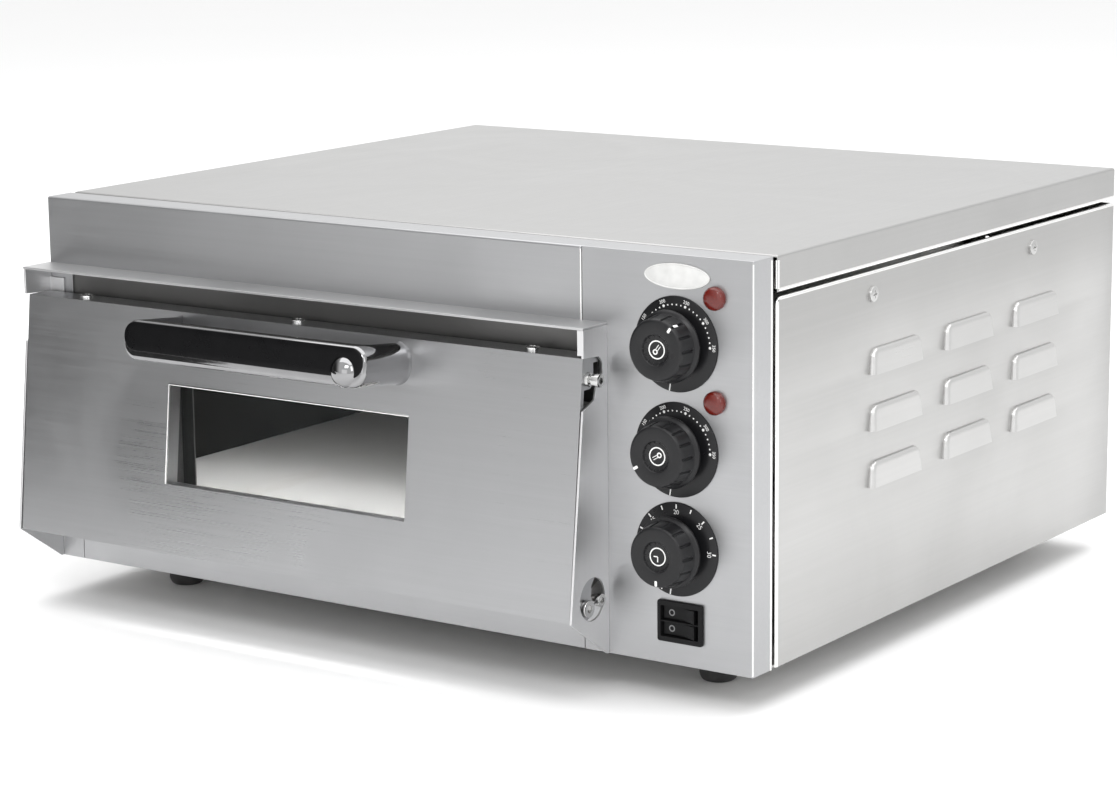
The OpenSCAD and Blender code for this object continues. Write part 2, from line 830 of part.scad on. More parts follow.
base_pan();
front_fascia();
lower_skirt();
control_panel();
top_cover();
side_panel_right();
side_panel_left();
rear_panel();
hood_ledge();
cheek_right();
cheek_left();
hinge_brackets();
pivot_bolts();
stop_bolts();
mouth_frame();
chamber_liner();
partition();
deck_stone();
deck_rails();
upper_heaters();
lower_heaters();
insulation_top();
insulation_bottom();
insulation_sides();
insulation_rear();
thermostat_bodies();
thermostat_probes();
timer_body();
terminal_block();
cable_gland();
lamp_lenses();
lamp_bodies();
switch_housing();
badge_plate();
dial_rings();
rubber_feet();
foot_screws();
panel_screws();
door_outer_panel();
door_inner_liner();
door_insulation();
window_frame();
window_glass();
door_seal();
handle_bow();
handle_grip();
handle_stud();
handle_screws();
latch_pin();
door_screws();
knob_upper();
knob_lower();
knob_timer();
spindle_upper();
spindle_lower();
spindle_timer();
rocker_upper();
rocker_lower();
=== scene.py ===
import json
from math import atan, cos, dist, pi, radians, sin, sqrt

import bmesh
import bpy
from mathutils import Matrix, Vector, noise


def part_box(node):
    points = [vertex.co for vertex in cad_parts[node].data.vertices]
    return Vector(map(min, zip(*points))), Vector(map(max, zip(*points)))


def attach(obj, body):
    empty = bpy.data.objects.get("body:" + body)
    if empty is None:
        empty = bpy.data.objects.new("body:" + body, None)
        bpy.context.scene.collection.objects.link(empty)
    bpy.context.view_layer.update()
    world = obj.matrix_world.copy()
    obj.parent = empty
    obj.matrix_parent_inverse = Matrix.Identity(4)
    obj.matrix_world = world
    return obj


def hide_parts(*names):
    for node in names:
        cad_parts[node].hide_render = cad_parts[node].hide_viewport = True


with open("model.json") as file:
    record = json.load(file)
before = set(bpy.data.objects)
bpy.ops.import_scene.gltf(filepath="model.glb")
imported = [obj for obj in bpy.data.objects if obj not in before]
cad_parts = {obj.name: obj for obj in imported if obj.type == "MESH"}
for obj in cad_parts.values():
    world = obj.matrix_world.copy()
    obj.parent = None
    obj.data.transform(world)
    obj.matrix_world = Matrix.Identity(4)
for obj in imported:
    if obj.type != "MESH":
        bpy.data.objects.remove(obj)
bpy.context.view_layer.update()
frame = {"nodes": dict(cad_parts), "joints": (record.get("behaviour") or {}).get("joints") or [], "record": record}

# ---- places
MM = 0.001
X, Y, Z = Vector((1, 0, 0)), Vector((0, 1, 0)), Vector((0, 0, 1))

PANEL_LO, PANEL_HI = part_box("control_panel")
FRONT_Y = PANEL_LO.y
RIGHT_X = PANEL_HI.x
LEFT_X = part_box("side_panel_left")[0].x
BASE_Z = PANEL_LO.z
TOP_Z = PANEL_HI.z
BACK_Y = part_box("rear_panel")[1].y
DOOR_LO, DOOR_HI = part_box("door_outer_panel")
DOOR_MID = (DOOR_LO.x + DOOR_HI.x) / 2
DOOR_HEAD_Y = FRONT_Y - 23 * MM
SKIRT_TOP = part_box("lower_skirt")[1].z
DOOR_TOP = DOOR_HI.z
LEAN = atan((DOOR_HEAD_Y - DOOR_LO.y) / (DOOR_TOP - SKIRT_TOP))
JOINT_AT = {j["name"]: Vector(j["pos_m"]) for j in frame["joints"]}
BODY_OF = {n: b for b, ns in frame["record"]["behaviour"]["bodies"].items() for n in ns}


def basis(origin, u, v, w):
    """Matrix from local u, v, w to the row frame."""
    m = Matrix((u, v, w)).transposed().to_4x4()
    m.translation = origin
    return m


def move(x, y, z):
    """Offset in millimetres."""
    return Matrix.Translation(Vector((x, y, z)) * MM)


def turned(angle, axis="Z"):
    """Rotation by an angle in degrees."""
    return Matrix.Rotation(radians(angle), 4, axis)


def middle(node):
    lo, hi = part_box(node)
    return (lo + hi) / 2


def width(node):
    """Size along X, in millimetres."""
    lo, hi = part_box(node)
    return (hi.x - lo.x) / MM


def proud(node):
    """How far a node stands out of the front sheets, in millimetres."""
    return (FRONT_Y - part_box(node)[0].y) / MM


def placed(name, data):
    """New object in the scene."""
    ob = bpy.data.objects.new(name, data)
    bpy.context.scene.collection.objects.link(ob)
    return ob


def mesh_of(name, verts, faces):
    mesh = bpy.data.meshes.new(name)
    mesh.from_pydata([v[:] for v in verts], [], faces)
    return mesh


def part_of(ob):
    """Vertices and faces of an object with its modifiers; the object is removed."""
    mesh = bpy.data.meshes.new_from_object(ob.evaluated_get(bpy.context.evaluated_depsgraph_get()))
    part = ([v.co.copy() for v in mesh.vertices], [tuple(p.vertices) for p in mesh.polygons])
    bpy.data.objects.remove(ob)
    bpy.data.meshes.remove(mesh)
    return part


def part_from(bm):
    """Vertices and faces of a bmesh, which is freed."""
    bm.verts.index_update()
    part = ([v.co.copy() for v in bm.verts], [tuple(v.index for v in f.verts) for f in bm.faces])
    bm.free()
    return part


def cleaned(mesh, reach=0.0):
    """Joins vertices nearer than reach and turns the faces outwards."""
    bm = bmesh.new()
    bm.from_mesh(mesh)
    if reach:
        bmesh.ops.remove_doubles(bm, verts=bm.verts, dist=reach)
    bmesh.ops.recalc_face_normals(bm, faces=bm.faces)
    bm.to_mesh(mesh)
    bm.free()


def on_panel(x, z):
    """Local frame on the front sheets: u right, v up, w outwards."""
    return basis((x, FRONT_Y, z), X, Z, -Y)


def on_right(y, z):
    """Local frame on the right side panel: u backwards, v up, w outwards."""
    return basis((RIGHT_X, y, z), Y, Z, X)


def on_left(y, z):
    return basis((LEFT_X, y, z), -Y, Z, -X)


def on_back(x, z):
    return basis((x, BACK_Y, z), -X, Z, Y)


# The door's front face: u right, v up the slope, w outwards
SLOPE = basis((DOOR_MID, DOOR_LO.y, SKIRT_TOP), X, Vector((0, sin(LEAN), cos(LEAN))),
              Vector((0, -cos(LEAN), sin(LEAN))))


# ---- shapes, drawn in millimetres
def rounded(w, h, r, steps=6):
    """Outline of a rectangle with round corners, anticlockwise."""
    points = []
    for k, (sx, sy) in enumerate(((1, -1), (1, 1), (-1, 1), (-1, -1))):
        for i in range(steps + 1):
            a = radians(-90 + 90 * k + 90 * i / steps)
            points.append((sx * (w / 2 - r) + r * cos(a), sy * (h / 2 - r) + r * sin(a)))
    return points


def around(r, k, steps):
    """Point k of steps round a circle."""
    return r * cos(2 * pi * k / steps), r * sin(2 * pi * k / steps)


def hexed(flat, k):
    """Radius of a hexagon at step k of 72, from half its width across flats."""
    return flat / cos(radians((k * 5 + 30) % 60 - 30))


def ellipse(a, b, steps=96):
    return [(a * cos(2 * pi * i / steps), b * sin(2 * pi * i / steps)) for i in range(steps)]


def loft(rings, caps=(True, True), loop=False):
    """Quads between rings of equal length, with optional end faces."""
    n = len(rings[0])
    verts = [Vector(p) for ring in rings for p in ring]
    count = len(rings) if loop else len(rings) - 1
    faces = []
    for k in range(count):
        a, b = k * n, (k + 1) % len(rings) * n
        faces += [(a + i, a + (i + 1) % n, b + (i + 1) % n, b + i) for i in range(n)]
    if caps[0] and not loop:
        faces.append(tuple(reversed(range(n))))
    if caps[1] and not loop:
        last = (len(rings) - 1) * n
        faces.append(tuple(range(last, last + n)))
    return verts, faces


def lathe(profile, steps=96, ripple=None):
    """Turns (radius, height) points round w. ripple(angle, height) is taken off the radius."""
    rings = []
    for r, w in profile:
        ring = []
        for i in range(steps):
            a = 2 * pi * i / steps
            rr = max(r - (ripple(a, w) if ripple else 0), 1e-3)
            ring.append((rr * cos(a), rr * sin(a), w))
        rings.append(ring)
    return loft(rings)


def slab(outline, w0, w1, edge):
    """Extruded outline whose two rims are rounded in by edge."""
    def inset(k, w):
        cx = sum(p[0] for p in outline) / len(outline)
        cy = sum(p[1] for p in outline) / len(outline)
        sx = max(abs(p[0] - cx) for p in outline)
        sy = max(abs(p[1] - cy) for p in outline)
        return [(cx + (p[0] - cx) * (1 - k / sx), cy + (p[1] - cy) * (1 - k / sy), w)
                for p in outline]
    e = edge * 0.3
    return loft([inset(edge, w0), inset(e, w0 + e), inset(0, w0 + edge), inset(0, w1 - edge),
                 inset(e, w1 - e), inset(edge, w1)])


def annulus(r0, r1, w0, w1, steps=96):
    """Flat ring with slightly rounded rims."""
    e = (w1 - w0) * 0.25
    profile = [(r0, w0), (r1, w0), (r1, w1 - e), (r1 - e * 0.3, w1 - e * 0.3), (r1 - e, w1),
               (r0 + e, w1), (r0 + e * 0.3, w1 - e * 0.3), (r0, w1 - e)]
    rings = [[(*around(r, i, steps), w) for r, w in profile] for i in range(steps)]
    return loft(rings, loop=True)


def tube(path, radius, sides=12, loop=False, wobble=None):
    """Round tube along points in the row frame."""
    n = len(path)
    rings = []
    normal = None
    for i, p in enumerate(path):
        before = path[i - 1] if (i or loop) else path[i]
        after = path[(i + 1) % n] if (i < n - 1 or loop) else path[i]
        t = (after - before).normalized()
        if normal is None:
            normal = t.orthogonal().normalized()
        normal = (normal - t * normal.dot(t)).normalized()
        side = t.cross(normal)
        r = radius * (wobble(i) if wobble else 1)
        rings.append([p + (normal * cos(2 * pi * k / sides)
                           + side * sin(2 * pi * k / sides)) * r for k in range(sides)])
    return loft(rings, loop=loop)


def glyphs(text, size):
    """Flat outline mesh of generic numerals, centred on the origin."""
    curve = bpy.data.curves.new("numerals", "FONT")
    curve.body = text
    curve.size = size
    curve.align_x = "CENTER"
    curve.align_y = "CENTER"
    curve.resolution_u = 3
    curve.extrude = 0.03
    part = part_of(placed("numerals", curve))
    bpy.data.curves.remove(curve)
    return part


class Shape:
    """Gathers parts of one piece: in millimetres with a matrix, in the row frame without one."""

    def __init__(self):
        self.verts = []
        self.faces = []
        self.mats = []

    def add(self, part, matrix=None, mat=0):
        verts, faces = part
        base = len(self.verts)
        self.verts += [matrix @ (Vector(v) * MM) if matrix else Vector(v) for v in verts]
        self.faces += [tuple(base + i for i in f) for f in faces]
        self.mats += [mat] * len(faces)
        return self

    def piece(self, name, node, materials, smooth=35, hide=True):
        """Makes the object, rides it on the node's body and hides the node it stands for."""
        mesh = mesh_of(name, self.verts, self.faces)
        mesh.validate()
        cleaned(mesh, 2e-6)
        if len(materials) > 1 and len(self.mats) == len(mesh.polygons):
            mesh.polygons.foreach_set("material_index", self.mats)
        mesh.polygons.foreach_set("use_smooth", [True] * len(mesh.polygons))
        mesh.set_sharp_from_angle(angle=radians(smooth))
        ob = placed(name, mesh)
        for m in materials:
            mesh.materials.append(m)
        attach(ob, BODY_OF[node])
        if hide:
            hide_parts(node)
        return ob


def rounded_edges(ob, width, limit):
    """Adds a bevel of three segments, limited by WEIGHT or ANGLE."""
    rim = ob.modifiers.new("rounded_edges", "BEVEL")
    rim.limit_method = limit
    rim.width = width
    rim.segments = 3
    rim.harden_normals = True
    return rim


def softened(node, material, edge=0.35 * MM, bend=0.0, is_bend=None):
    """A copy of a CAD node whose edges are rounded: bends widely, cut edges slightly."""
    bm = bmesh.new()
    bm.from_mesh(frame["nodes"][node].data)
    bmesh.ops.remove_doubles(bm, verts=bm.verts, dist=1e-6)
    bmesh.ops.dissolve_limit(bm, angle_limit=radians(0.5), verts=bm.verts, edges=bm.edges)
    weight = bm.edges.layers.float.new("bevel_weight_edge")
    widest = max(edge, bend)
    for e in bm.edges:
        if len(e.link_faces) == 2 and e.calc_face_angle(0) > radians(30):
            share = min(is_bend(v.co) for v in e.verts) if is_bend else 0
            e[weight] = max(bend * share, edge) / widest
    mesh = bpy.data.meshes.new(node + "_skin")
    bm.to_mesh(mesh)
    bm.free()
    for left_over in ("custom_normal", "sharp_edge", "sharp_face"):
        if left_over in mesh.attributes:
            mesh.attributes.remove(mesh.attributes[left_over])
    mesh.polygons.foreach_set("use_smooth", [True] * len(mesh.polygons))
    mesh.materials.clear()
    mesh.materials.append(material)
    mesh.polygons.foreach_set("material_index", [0] * len(mesh.polygons))
    ob = placed(node + "_skin", mesh)
    rounded_edges(ob, widest, "WEIGHT").use_clamp_overlap = True
    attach(ob, BODY_OF[node])
    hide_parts(node)


# ---- materials
class Nodes:
    """Builds nodes in a node tree."""

    def __init__(self, tree):
        self.tree = tree

    def feed(self, socket, value):
        """Links a node's output to the socket, or sets a number or a colour there."""
        if isinstance(value, bpy.types.NodeSocket):
            self.tree.links.new(value, socket)
        elif isinstance(value, tuple) and socket.type == "RGBA":
            socket.default_value = (*value, 1)
        else:
            socket.default_value = value

    def node(self, kind, out, *values, **settings):
        """A node fed with (input, value) pairs; settings are its own properties."""
        node = self.tree.nodes.new("ShaderNode" + kind)
        for name, value in settings.items():
            setattr(node, name, value)
        for socket, value in values:
            self.feed(node.inputs[socket], value)
        return node.outputs[out]

    def remap(self, value, low, high, to_low, to_high, **settings):
        return self.node("MapRange", "Result", ("From Min", low), ("From Max", high),
                         ("To Min", to_low), ("To Max", to_high), ("Value", value), **settings)


class Shader(Nodes):
    """One procedural material, built node by node on a Principled shader."""

    def __init__(self, name, color, metallic=0.0, roughness=0.5, **uniform):
        self.mat = bpy.data.materials.new(name)
        self.mat.use_nodes = True
        super().__init__(self.mat.node_tree)
        self.inputs = self.tree.nodes["Principled BSDF"].inputs
        self.color(color)
        self.rough(roughness)
        self.inputs["Metallic"].default_value = metallic
        for socket, value in uniform.items():
            self.inputs[socket.replace("_", " ")].default_value = value
        self.where = self.tree.nodes.new("ShaderNodeTexCoord").outputs["Object"]

    def color(self, out):
        self.feed(self.inputs["Base Color"], out)

    def rough(self, out):
        self.feed(self.inputs["Roughness"], out)

    def normal(self, out):
        self.feed(self.inputs["Normal"], out)

    def stretched(self, scale):
        return self.node("Mapping", "Vector", ("Scale", scale), ("Vector", self.where))

    def noise(self, scale, detail=3.0, rough=0.55, vector=None, distortion=0.0):
        return self.node("TexNoise", "Fac", ("Scale", scale), ("Detail", detail),
                         ("Roughness", rough), ("Distortion", distortion),
                         ("Vector", vector or self.where))

    def cells(self, scale, vector=None):
        return self.node("TexVoronoi", "Distance", ("Scale", scale),
                         ("Vector", vector or self.where))

    def math(self, kind, a, b):
        return self.node("Math", 0, (0, a), (1, b), operation=kind)

    def mixed(self, factor, a, b):
        return self.node("Mix", 2, (0, factor), (6, a), (7, b), data_type="RGBA")

    def bump(self, height, strength, distance, under=None):
        below = [("Normal", under)] if under else []
        return self.node("Bump", "Normal", ("Strength", strength), ("Distance", distance),
                         ("Height", height), *below)


def tone(color, k):
    return tuple(min(1.0, c * k) for c in color)


def brushed(name, color, grain, roughness=0.34, contrast=0.05, stain=0.03):
    """Brushed sheet: fine grain along one axis, longer streaks, faint wiping marks."""
    s = Shader(name, color, metallic=1.0, roughness=roughness)
    along = [1.0 if axis == grain else 0.0 for axis in "XYZ"]
    fine = s.stretched([14.0 if a else 2600.0 for a in along])
    streak = s.stretched([4.0 if a else 420.0 for a in along])
    f = s.noise(1.0, 2.0, vector=fine)
    g = s.noise(1.0, 3.0, vector=streak)
    wipe = s.noise(7.0, 4.0, 0.6, distortion=0.8)
    base = s.mixed(f, tone(color, 1 - contrast), tone(color, 1 + contrast))
    base = s.mixed(s.remap(g, 0.3, 0.7, 0.0, 0.5), base, tone(color, 1 - contrast * 1.4))
    base = s.mixed(s.remap(wipe, 0.35, 0.75, 0.0, stain * 8), base, tone(color, 0.86))
    s.color(base)
    rough = s.math("ADD", s.remap(f, 0.2, 0.8, -0.05, 0.05), s.remap(wipe, 0.3, 0.7, -0.05, 0.05))
    s.rough(s.math("ADD", rough, roughness))
    first = s.bump(f, 0.20, 0.05 * MM)
    s.normal(s.bump(g, 0.10, 0.15 * MM, first))
    return s.mat


def chamber_steel():
    """Liner sheet, tinted straw to brown by heat, sooty, and kept near black as painted shade inside the chamber.
    """
    s = Shader("heat_tint_and_painted_shade", (0.12, 0.11, 0.10), metallic=0.8, roughness=0.5)
    heat = s.noise(5.0, 4.0, 0.6, distortion=1.2)
    soot = s.noise(38.0, 5.0, 0.6)
    grain = s.noise(1.0, 2.0, vector=s.stretched([12, 900, 900]))
    base = s.mixed(heat, (0.050, 0.047, 0.045), (0.035, 0.028, 0.024))
    base = s.mixed(s.remap(soot, 0.5, 0.8, 0.0, 0.5), base, (0.02, 0.019, 0.018))
    s.color(base)
    s.rough(s.remap(soot, 0.2, 0.8, 0.34, 0.6))
    s.normal(s.bump(grain, 0.25, 0.1 * MM))
    return s.mat


def bright(name, color=(0.86, 0.86, 0.85), roughness=0.09, pits=0.25):
    """Plated or turned metal with hairline marks and slight waviness."""
    s = Shader(name, color, metallic=1.0, roughness=roughness)
    hair = s.noise(1.0, 2.0, vector=s.stretched([220, 2200, 1500]))
    cloud = s.noise(55.0, 3.0)
    s.color(s.mixed(s.remap(cloud, 0.3, 0.75, 0.0, 1.0), tone(color, 1.03), tone(color, 0.92)))
    s.rough(s.math("ADD", s.remap(cloud, 0.3, 0.8, -0.02, 0.06),
                  s.remap(hair, 0.4, 0.9, roughness, roughness + 0.05)))
    s.normal(s.bump(hair, pits * 0.3, 0.02 * MM, s.bump(cloud, pits, 0.06 * MM)))
    return s.mat


def moulded(name, color, roughness, texture=0.25, grain=2600.0, coat=0.0, specular=0.5):
    """Moulded plastic: fine spark-eroded texture, faint dust and gloss changes."""
    s = Shader(name, color, roughness=roughness, Coat_Weight=coat, Coat_Roughness=0.08,
               Specular_IOR_Level=specular)
    pebble = s.cells(grain)
    cloud = s.noise(90.0, 4.0)
    dust = s.remap(s.noise(900.0, 2.0), 0.62, 0.8, 0.0, 0.12)
    base = s.mixed(cloud, tone(color, 0.8), tone(color, 1.25))
    s.color(s.mixed(dust, base, tuple(min(1, c + 0.06) for c in color)))
    s.rough(s.remap(cloud, 0.25, 0.75, max(0.02, roughness - 0.06), roughness + 0.08))
    s.normal(s.bump(pebble, texture, 0.05 * MM, s.bump(cloud, 0.1, 0.2 * MM)))
    return s.mat


def printed(name, color):
    """Printed white ink, a little uneven."""
    s = Shader(name, color, roughness=0.5)
    s.color(s.mixed(s.noise(1800.0, 3.0), tone(color, 0.86), tone(color, 1.05)))
    s.normal(s.bump(s.noise(5000.0, 2.0), 0.15, 0.02 * MM))
    return s.mat


def red_lens():
    s = Shader("red_lens", (0.24, 0.014, 0.008), roughness=0.22, Coat_Weight=0.2,
               Coat_Roughness=0.08, IOR=1.49)
    prism = s.cells(900.0)
    s.color(s.mixed(s.remap(prism, 0.0, 0.6, 0.0, 1.0), (0.15, 0.013, 0.007), (0.11, 0.008, 0.005)))
    s.rough(s.remap(s.noise(700.0, 2.0), 0.3, 0.7, 0.12, 0.24))
    s.normal(s.bump(prism, 0.15, 0.12 * MM))
    return s.mat


def rubber():
    s = Shader("foot_rubber", (0.022, 0.022, 0.023), roughness=0.72, Sheen_Weight=0.1)
    grit = s.noise(1600.0, 4.0, 0.7)
    bloom = s.noise(60.0, 3.0)
    base = s.mixed(bloom, (0.016, 0.016, 0.017), (0.045, 0.044, 0.043))
    s.color(base)
    s.rough(s.remap(grit, 0.2, 0.8, 0.6, 0.85))
    s.normal(s.bump(grit, 0.4, 0.15 * MM))
    return s.mat


def stone():
    """Refractory slab: pale, pitted, with browned patches."""
    s = Shader("refractory_stone", (0.66, 0.64, 0.60), roughness=0.85)
    grain = s.noise(900.0, 6.0, 0.7)
    patch = s.noise(11.0, 5.0, 0.6, distortion=1.0)
    pits = s.remap(s.cells(420.0), 0.0, 0.25, 0.0, 1.0)
    base = s.mixed(grain, (0.60, 0.60, 0.585), (0.74, 0.735, 0.72))
    base = s.mixed(s.remap(patch, 0.56, 0.80, 0.0, 0.30), base, (0.42, 0.36, 0.29))
    base = s.mixed(pits, (0.50, 0.48, 0.44), base)
    s.color(base)
    s.normal(s.bump(pits, 0.5, 0.3 * MM, s.bump(grain, 0.6, 0.25 * MM)))
    return s.mat


def heater_sheath():
    s = Shader("heater_sheath", (0.10, 0.095, 0.09), metallic=0.7, roughness=0.55)
    scale = s.noise(260.0, 5.0, 0.65)
    s.color(s.mixed(scale, (0.06, 0.055, 0.05), (0.20, 0.17, 0.14)))
    s.rough(s.remap(scale, 0.2, 0.8, 0.45, 0.75))
    s.normal(s.bump(scale, 0.5, 0.15 * MM))
    return s.mat


def mineral_wool(name, color):
    s = Shader(name, color, roughness=0.95, Sheen_Weight=0.2)
    strands = s.noise(1.0, 5.0, 0.7, vector=s.stretched([160, 160, 1300]))
    s.color(s.mixed(strands, tone(color, 0.72), tone(color, 1.24)))
    s.normal(s.bump(strands, 0.9, 1.5 * MM))
    return s.mat


def braid():
    """Glass fibre rope: crossing strands."""
    s = Shader("glass_fibre_braid", (0.34, 0.33, 0.31), roughness=0.9, Sheen_Weight=0.3)
    weave = s.cells(520.0, vector=s.stretched([1.0, 1.0, 1.0]))
    fuzz = s.noise(2200.0, 4.0, 0.7)
    s.color(s.mixed(weave, (0.26, 0.26, 0.25), (0.10, 0.098, 0.095)))
    s.normal(s.bump(weave, 0.9, 0.9 * MM, s.bump(fuzz, 0.3, 0.2 * MM)))
    return s.mat


def copper():
    s = Shader("drawn_copper", (0.62, 0.33, 0.20), metallic=1.0, roughness=0.3)
    aged = s.noise(120.0, 4.0)
    s.color(s.mixed(aged, (0.70, 0.38, 0.24), (0.36, 0.20, 0.13)))
    s.rough(s.remap(aged, 0.2, 0.8, 0.2, 0.5))
    return s.mat


def glazing():
    """Clear pane, thin enough to see through without bending light."""
    s = Shader("tempered_glass", (0.03, 0.035, 0.035), roughness=0.03, Alpha=0.06)
    smear = s.noise(14.0, 5.0, 0.65, distortion=1.5)
    s.rough(s.remap(smear, 0.45, 0.8, 0.02, 0.14))
    s.color(s.mixed(s.remap(smear, 0.5, 0.85, 0.0, 0.5), (0.03, 0.035, 0.035), (0.10, 0.10, 0.10)))
    return s.mat


# The front, sides, cover and door take one brushed steel in slightly different tones, set to each face's
# brightness under the lights: painted light.
STEEL_X = brushed("brushed_steel_front", (0.445, 0.448, 0.456), "X", 0.38)
STEEL_Y = brushed("brushed_steel_sides", (0.485, 0.483, 0.477), "Y", 0.36)
STEEL_TOP = brushed("brushed_steel_cover", (0.425, 0.424, 0.42), "Y", 0.36)
STEEL_DOOR = brushed("brushed_steel_door", (0.445, 0.448, 0.456), "X", 0.32)
# The ledge's steel is lighter than the front's: painted light lifting its shaded top.
STEEL_LEDGE_PAINTED_LIGHT = brushed("ledge_steel_painted_light", (0.60, 0.60, 0.605), "X", 0.42, 0.03)
# The cheeks' steel is much lighter than the front's: painted light.
STEEL_CHEEK_PAINTED_LIGHT = brushed("cheek_steel_painted_light", (0.76, 0.76, 0.765), "Z", 0.42, 0.03)
# Near-white steel for the round edge beads: a painted highlight along each edge.
STEEL_PAINTED_HIGHLIGHT = brushed("painted_highlight_edges", (0.86, 0.86, 0.85), "Z", 0.24, 0.02, 0.01)
# The louvres' steel is lighter than the side panel's: painted light on their raised faces.
STEEL_LOUVRE_PAINTED_LIGHT = brushed("louvre_steel_painted_light", (0.56, 0.558, 0.552), "Y", 0.34)
PLAIN_STEEL = brushed("rolled_steel", (0.48, 0.475, 0.465), "X", 0.45, 0.03, 0.06)
# Dark steel for the door's inner liner and the mouth frame: painted shade.
STEEL_INNER_PAINTED_SHADE = brushed("inner_steel", (0.20, 0.198, 0.194), "X", 0.5, 0.03, 0.06)
SCREW = bright("zinc_plated_screw", (0.50, 0.50, 0.495), 0.30)
PIN = bright("nickel_plated_pin", (0.55, 0.55, 0.545), 0.16)
LINER_PAINTED_SHADE = chamber_steel()
BRIGHT = bright("turned_steel")
# Chrome darkened well below its own brightness: painted dark reflections of the surroundings.
CHROME = bright("chrome_painted_dark_reflection", (0.32, 0.32, 0.325), 0.05, 0.12)
GRIP = moulded("grip_bakelite", (0.004, 0.004, 0.0045), 0.30, 0.04, 1500.0, specular=0.12)
KNOB = moulded("knob_plastic", (0.011, 0.011, 0.012), 0.32, 0.22, 3000.0, specular=0.30)
BLACK = moulded("black_plastic", (0.007, 0.007, 0.0075), 0.38, 0.30, 2800.0, specular=0.15)
DIAL = moulded("dial_film", (0.008, 0.008, 0.009), 0.30, 0.06, 4200.0, specular=0.30)
WHITE_PRINT = printed("white_print", (0.86, 0.86, 0.85))
GREY_PRINT = printed("grey_print", (0.20, 0.20, 0.205))
LENS = red_lens()
RUBBER = rubber()
STONE = stone()
SHEATH = heater_sheath()
WOOL = mineral_wool("mineral_wool", (0.66, 0.62, 0.44))
# Dark grey for the door's wool, seen beside the window glass: painted shade.
DOOR_WOOL_PAINTED_SHADE = mineral_wool("door_wool_painted_shade", (0.09, 0.09, 0.088))
BRAID = braid()
COPPER = copper()
GLASS = glazing()
CERAMIC = moulded("ivory_ceramic", (0.74, 0.72, 0.66), 0.5, 0.2, 1500.0)
BADGE_FACE = moulded("badge_enamel", (0.62, 0.62, 0.61), 0.22, 0.05, 2000.0, 0.6)


# ---- sheet metal
def near(a, b):
    return abs(a - b) < 0.02 * MM


def bend_lines(node, lines):
    """Tells whether a vertex lies on one of the outer edges, each named by two box sides."""
    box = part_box(node)

    def on_side(co, axis, end):
        k = "xyz".index(axis)
        return near(co[k], box[int(end)][k])

    def on_line(co):
        return float(any(on_side(co, *name[:2]) and on_side(co, *name[2:]) for name in lines.split()))
    return on_line


def door_folds(co):
    """Full bend round the door's rim, half of it round the window's opening."""
    local = SLOPE.inverted() @ co
    if abs(local.z) > 0.05 * MM:
        return 0.0
    at_side = near(co.x, DOOR_LO.x) or near(co.x, DOOR_HI.x)
    at_end = near(co.z, DOOR_TOP) or near(co.z, SKIRT_TOP)
    return 1.0 if at_side or at_end else 0.5


def skins(edge, *rows):
    """Rounded copies of CAD nodes, listed with their material; edge in millimetres."""
    for names, material in rows:
        for node in names.split():
            softened(node, material, edge * MM)


def casing():
    fold = 1.6 * MM
    softened("front_fascia", STEEL_X, bend=fold,
             is_bend=bend_lines("front_fascia", "y0z1 x0y0 x0z1 x1y0"))
    softened("control_panel", STEEL_X, bend=fold,
             is_bend=bend_lines("control_panel", "y0z1 x1y0 x1z1"))
    softened("top_cover", STEEL_TOP, bend=fold, is_bend=bend_lines("top_cover", "x0z1 x1z1 y1z1"))
    softened("hood_ledge", STEEL_LEDGE_PAINTED_LIGHT)
    softened("door_outer_panel", STEEL_DOOR, bend=2.4 * MM, is_bend=door_folds)
    skins(0.35, ("lower_skirt window_frame", STEEL_X), ("cheek_right cheek_left", STEEL_CHEEK_PAINTED_LIGHT),
          ("side_panel_left rear_panel", STEEL_Y),
          ("base_pan hinge_brackets partition", PLAIN_STEEL),
          ("door_inner_liner mouth_frame", STEEL_INNER_PAINTED_SHADE), ("chamber_liner deck_rails", LINER_PAINTED_SHADE))


HEM_R = 1.7 * MM
HEM_PROUD = 0.35 * MM


def louvre(w, h, depth, t):
    """One pressed louvre in u, v, w: round top corners, slanted ends, open lower mouth."""
    across, up = 56, 26
    slant, corner, rise = 2.5, 6, 3.2
    outer = []
    for j in range(up + 1):
        v = h * (1 - (1 - j / up) ** 1.6)
        past = max(0.0, v - (h - corner))
        half = w / 2 - slant * v / h - corner + sqrt(max(0.0, corner ** 2 - past ** 2))
        for i in range(across + 1):
            k = sin(pi / 2 * (2 * i / across - 1))
            inside = min(half * (1 - abs(k)), h - v, rise) / rise
            lift = sqrt(max(0.0, 1 - (1 - inside) ** 2))
            slope = 1 - 0.35 * v / h
            outer.append((k * half, v, depth * lift * slope))
    inner = [(p[0] * 0.985, p[1], p[2] - t) for p in outer]
    verts = outer + inner
    n = across + 1
    m = len(outer)
    faces = []
    for j in range(up):
        for i in range(across):
            a = j * n + i
            faces.append((a, a + 1, a + n + 1, a + n))
            faces.append((m + a, m + a + n, m + a + n + 1, m + a + 1))
    faces += [(i, m + i, m + i + 1, i + 1) for i in range(across)]
    return verts, faces


def bead(name, node, path, r, hide=False):
    """A round edge laid along a path, in near-white steel that paints its highlight."""
    rod = tube([Vector(p) for p in path], r, 18)
    Shape().add(rod).piece(name, node, [STEEL_PAINTED_HIGHLIGHT], smooth=80, hide=hide)


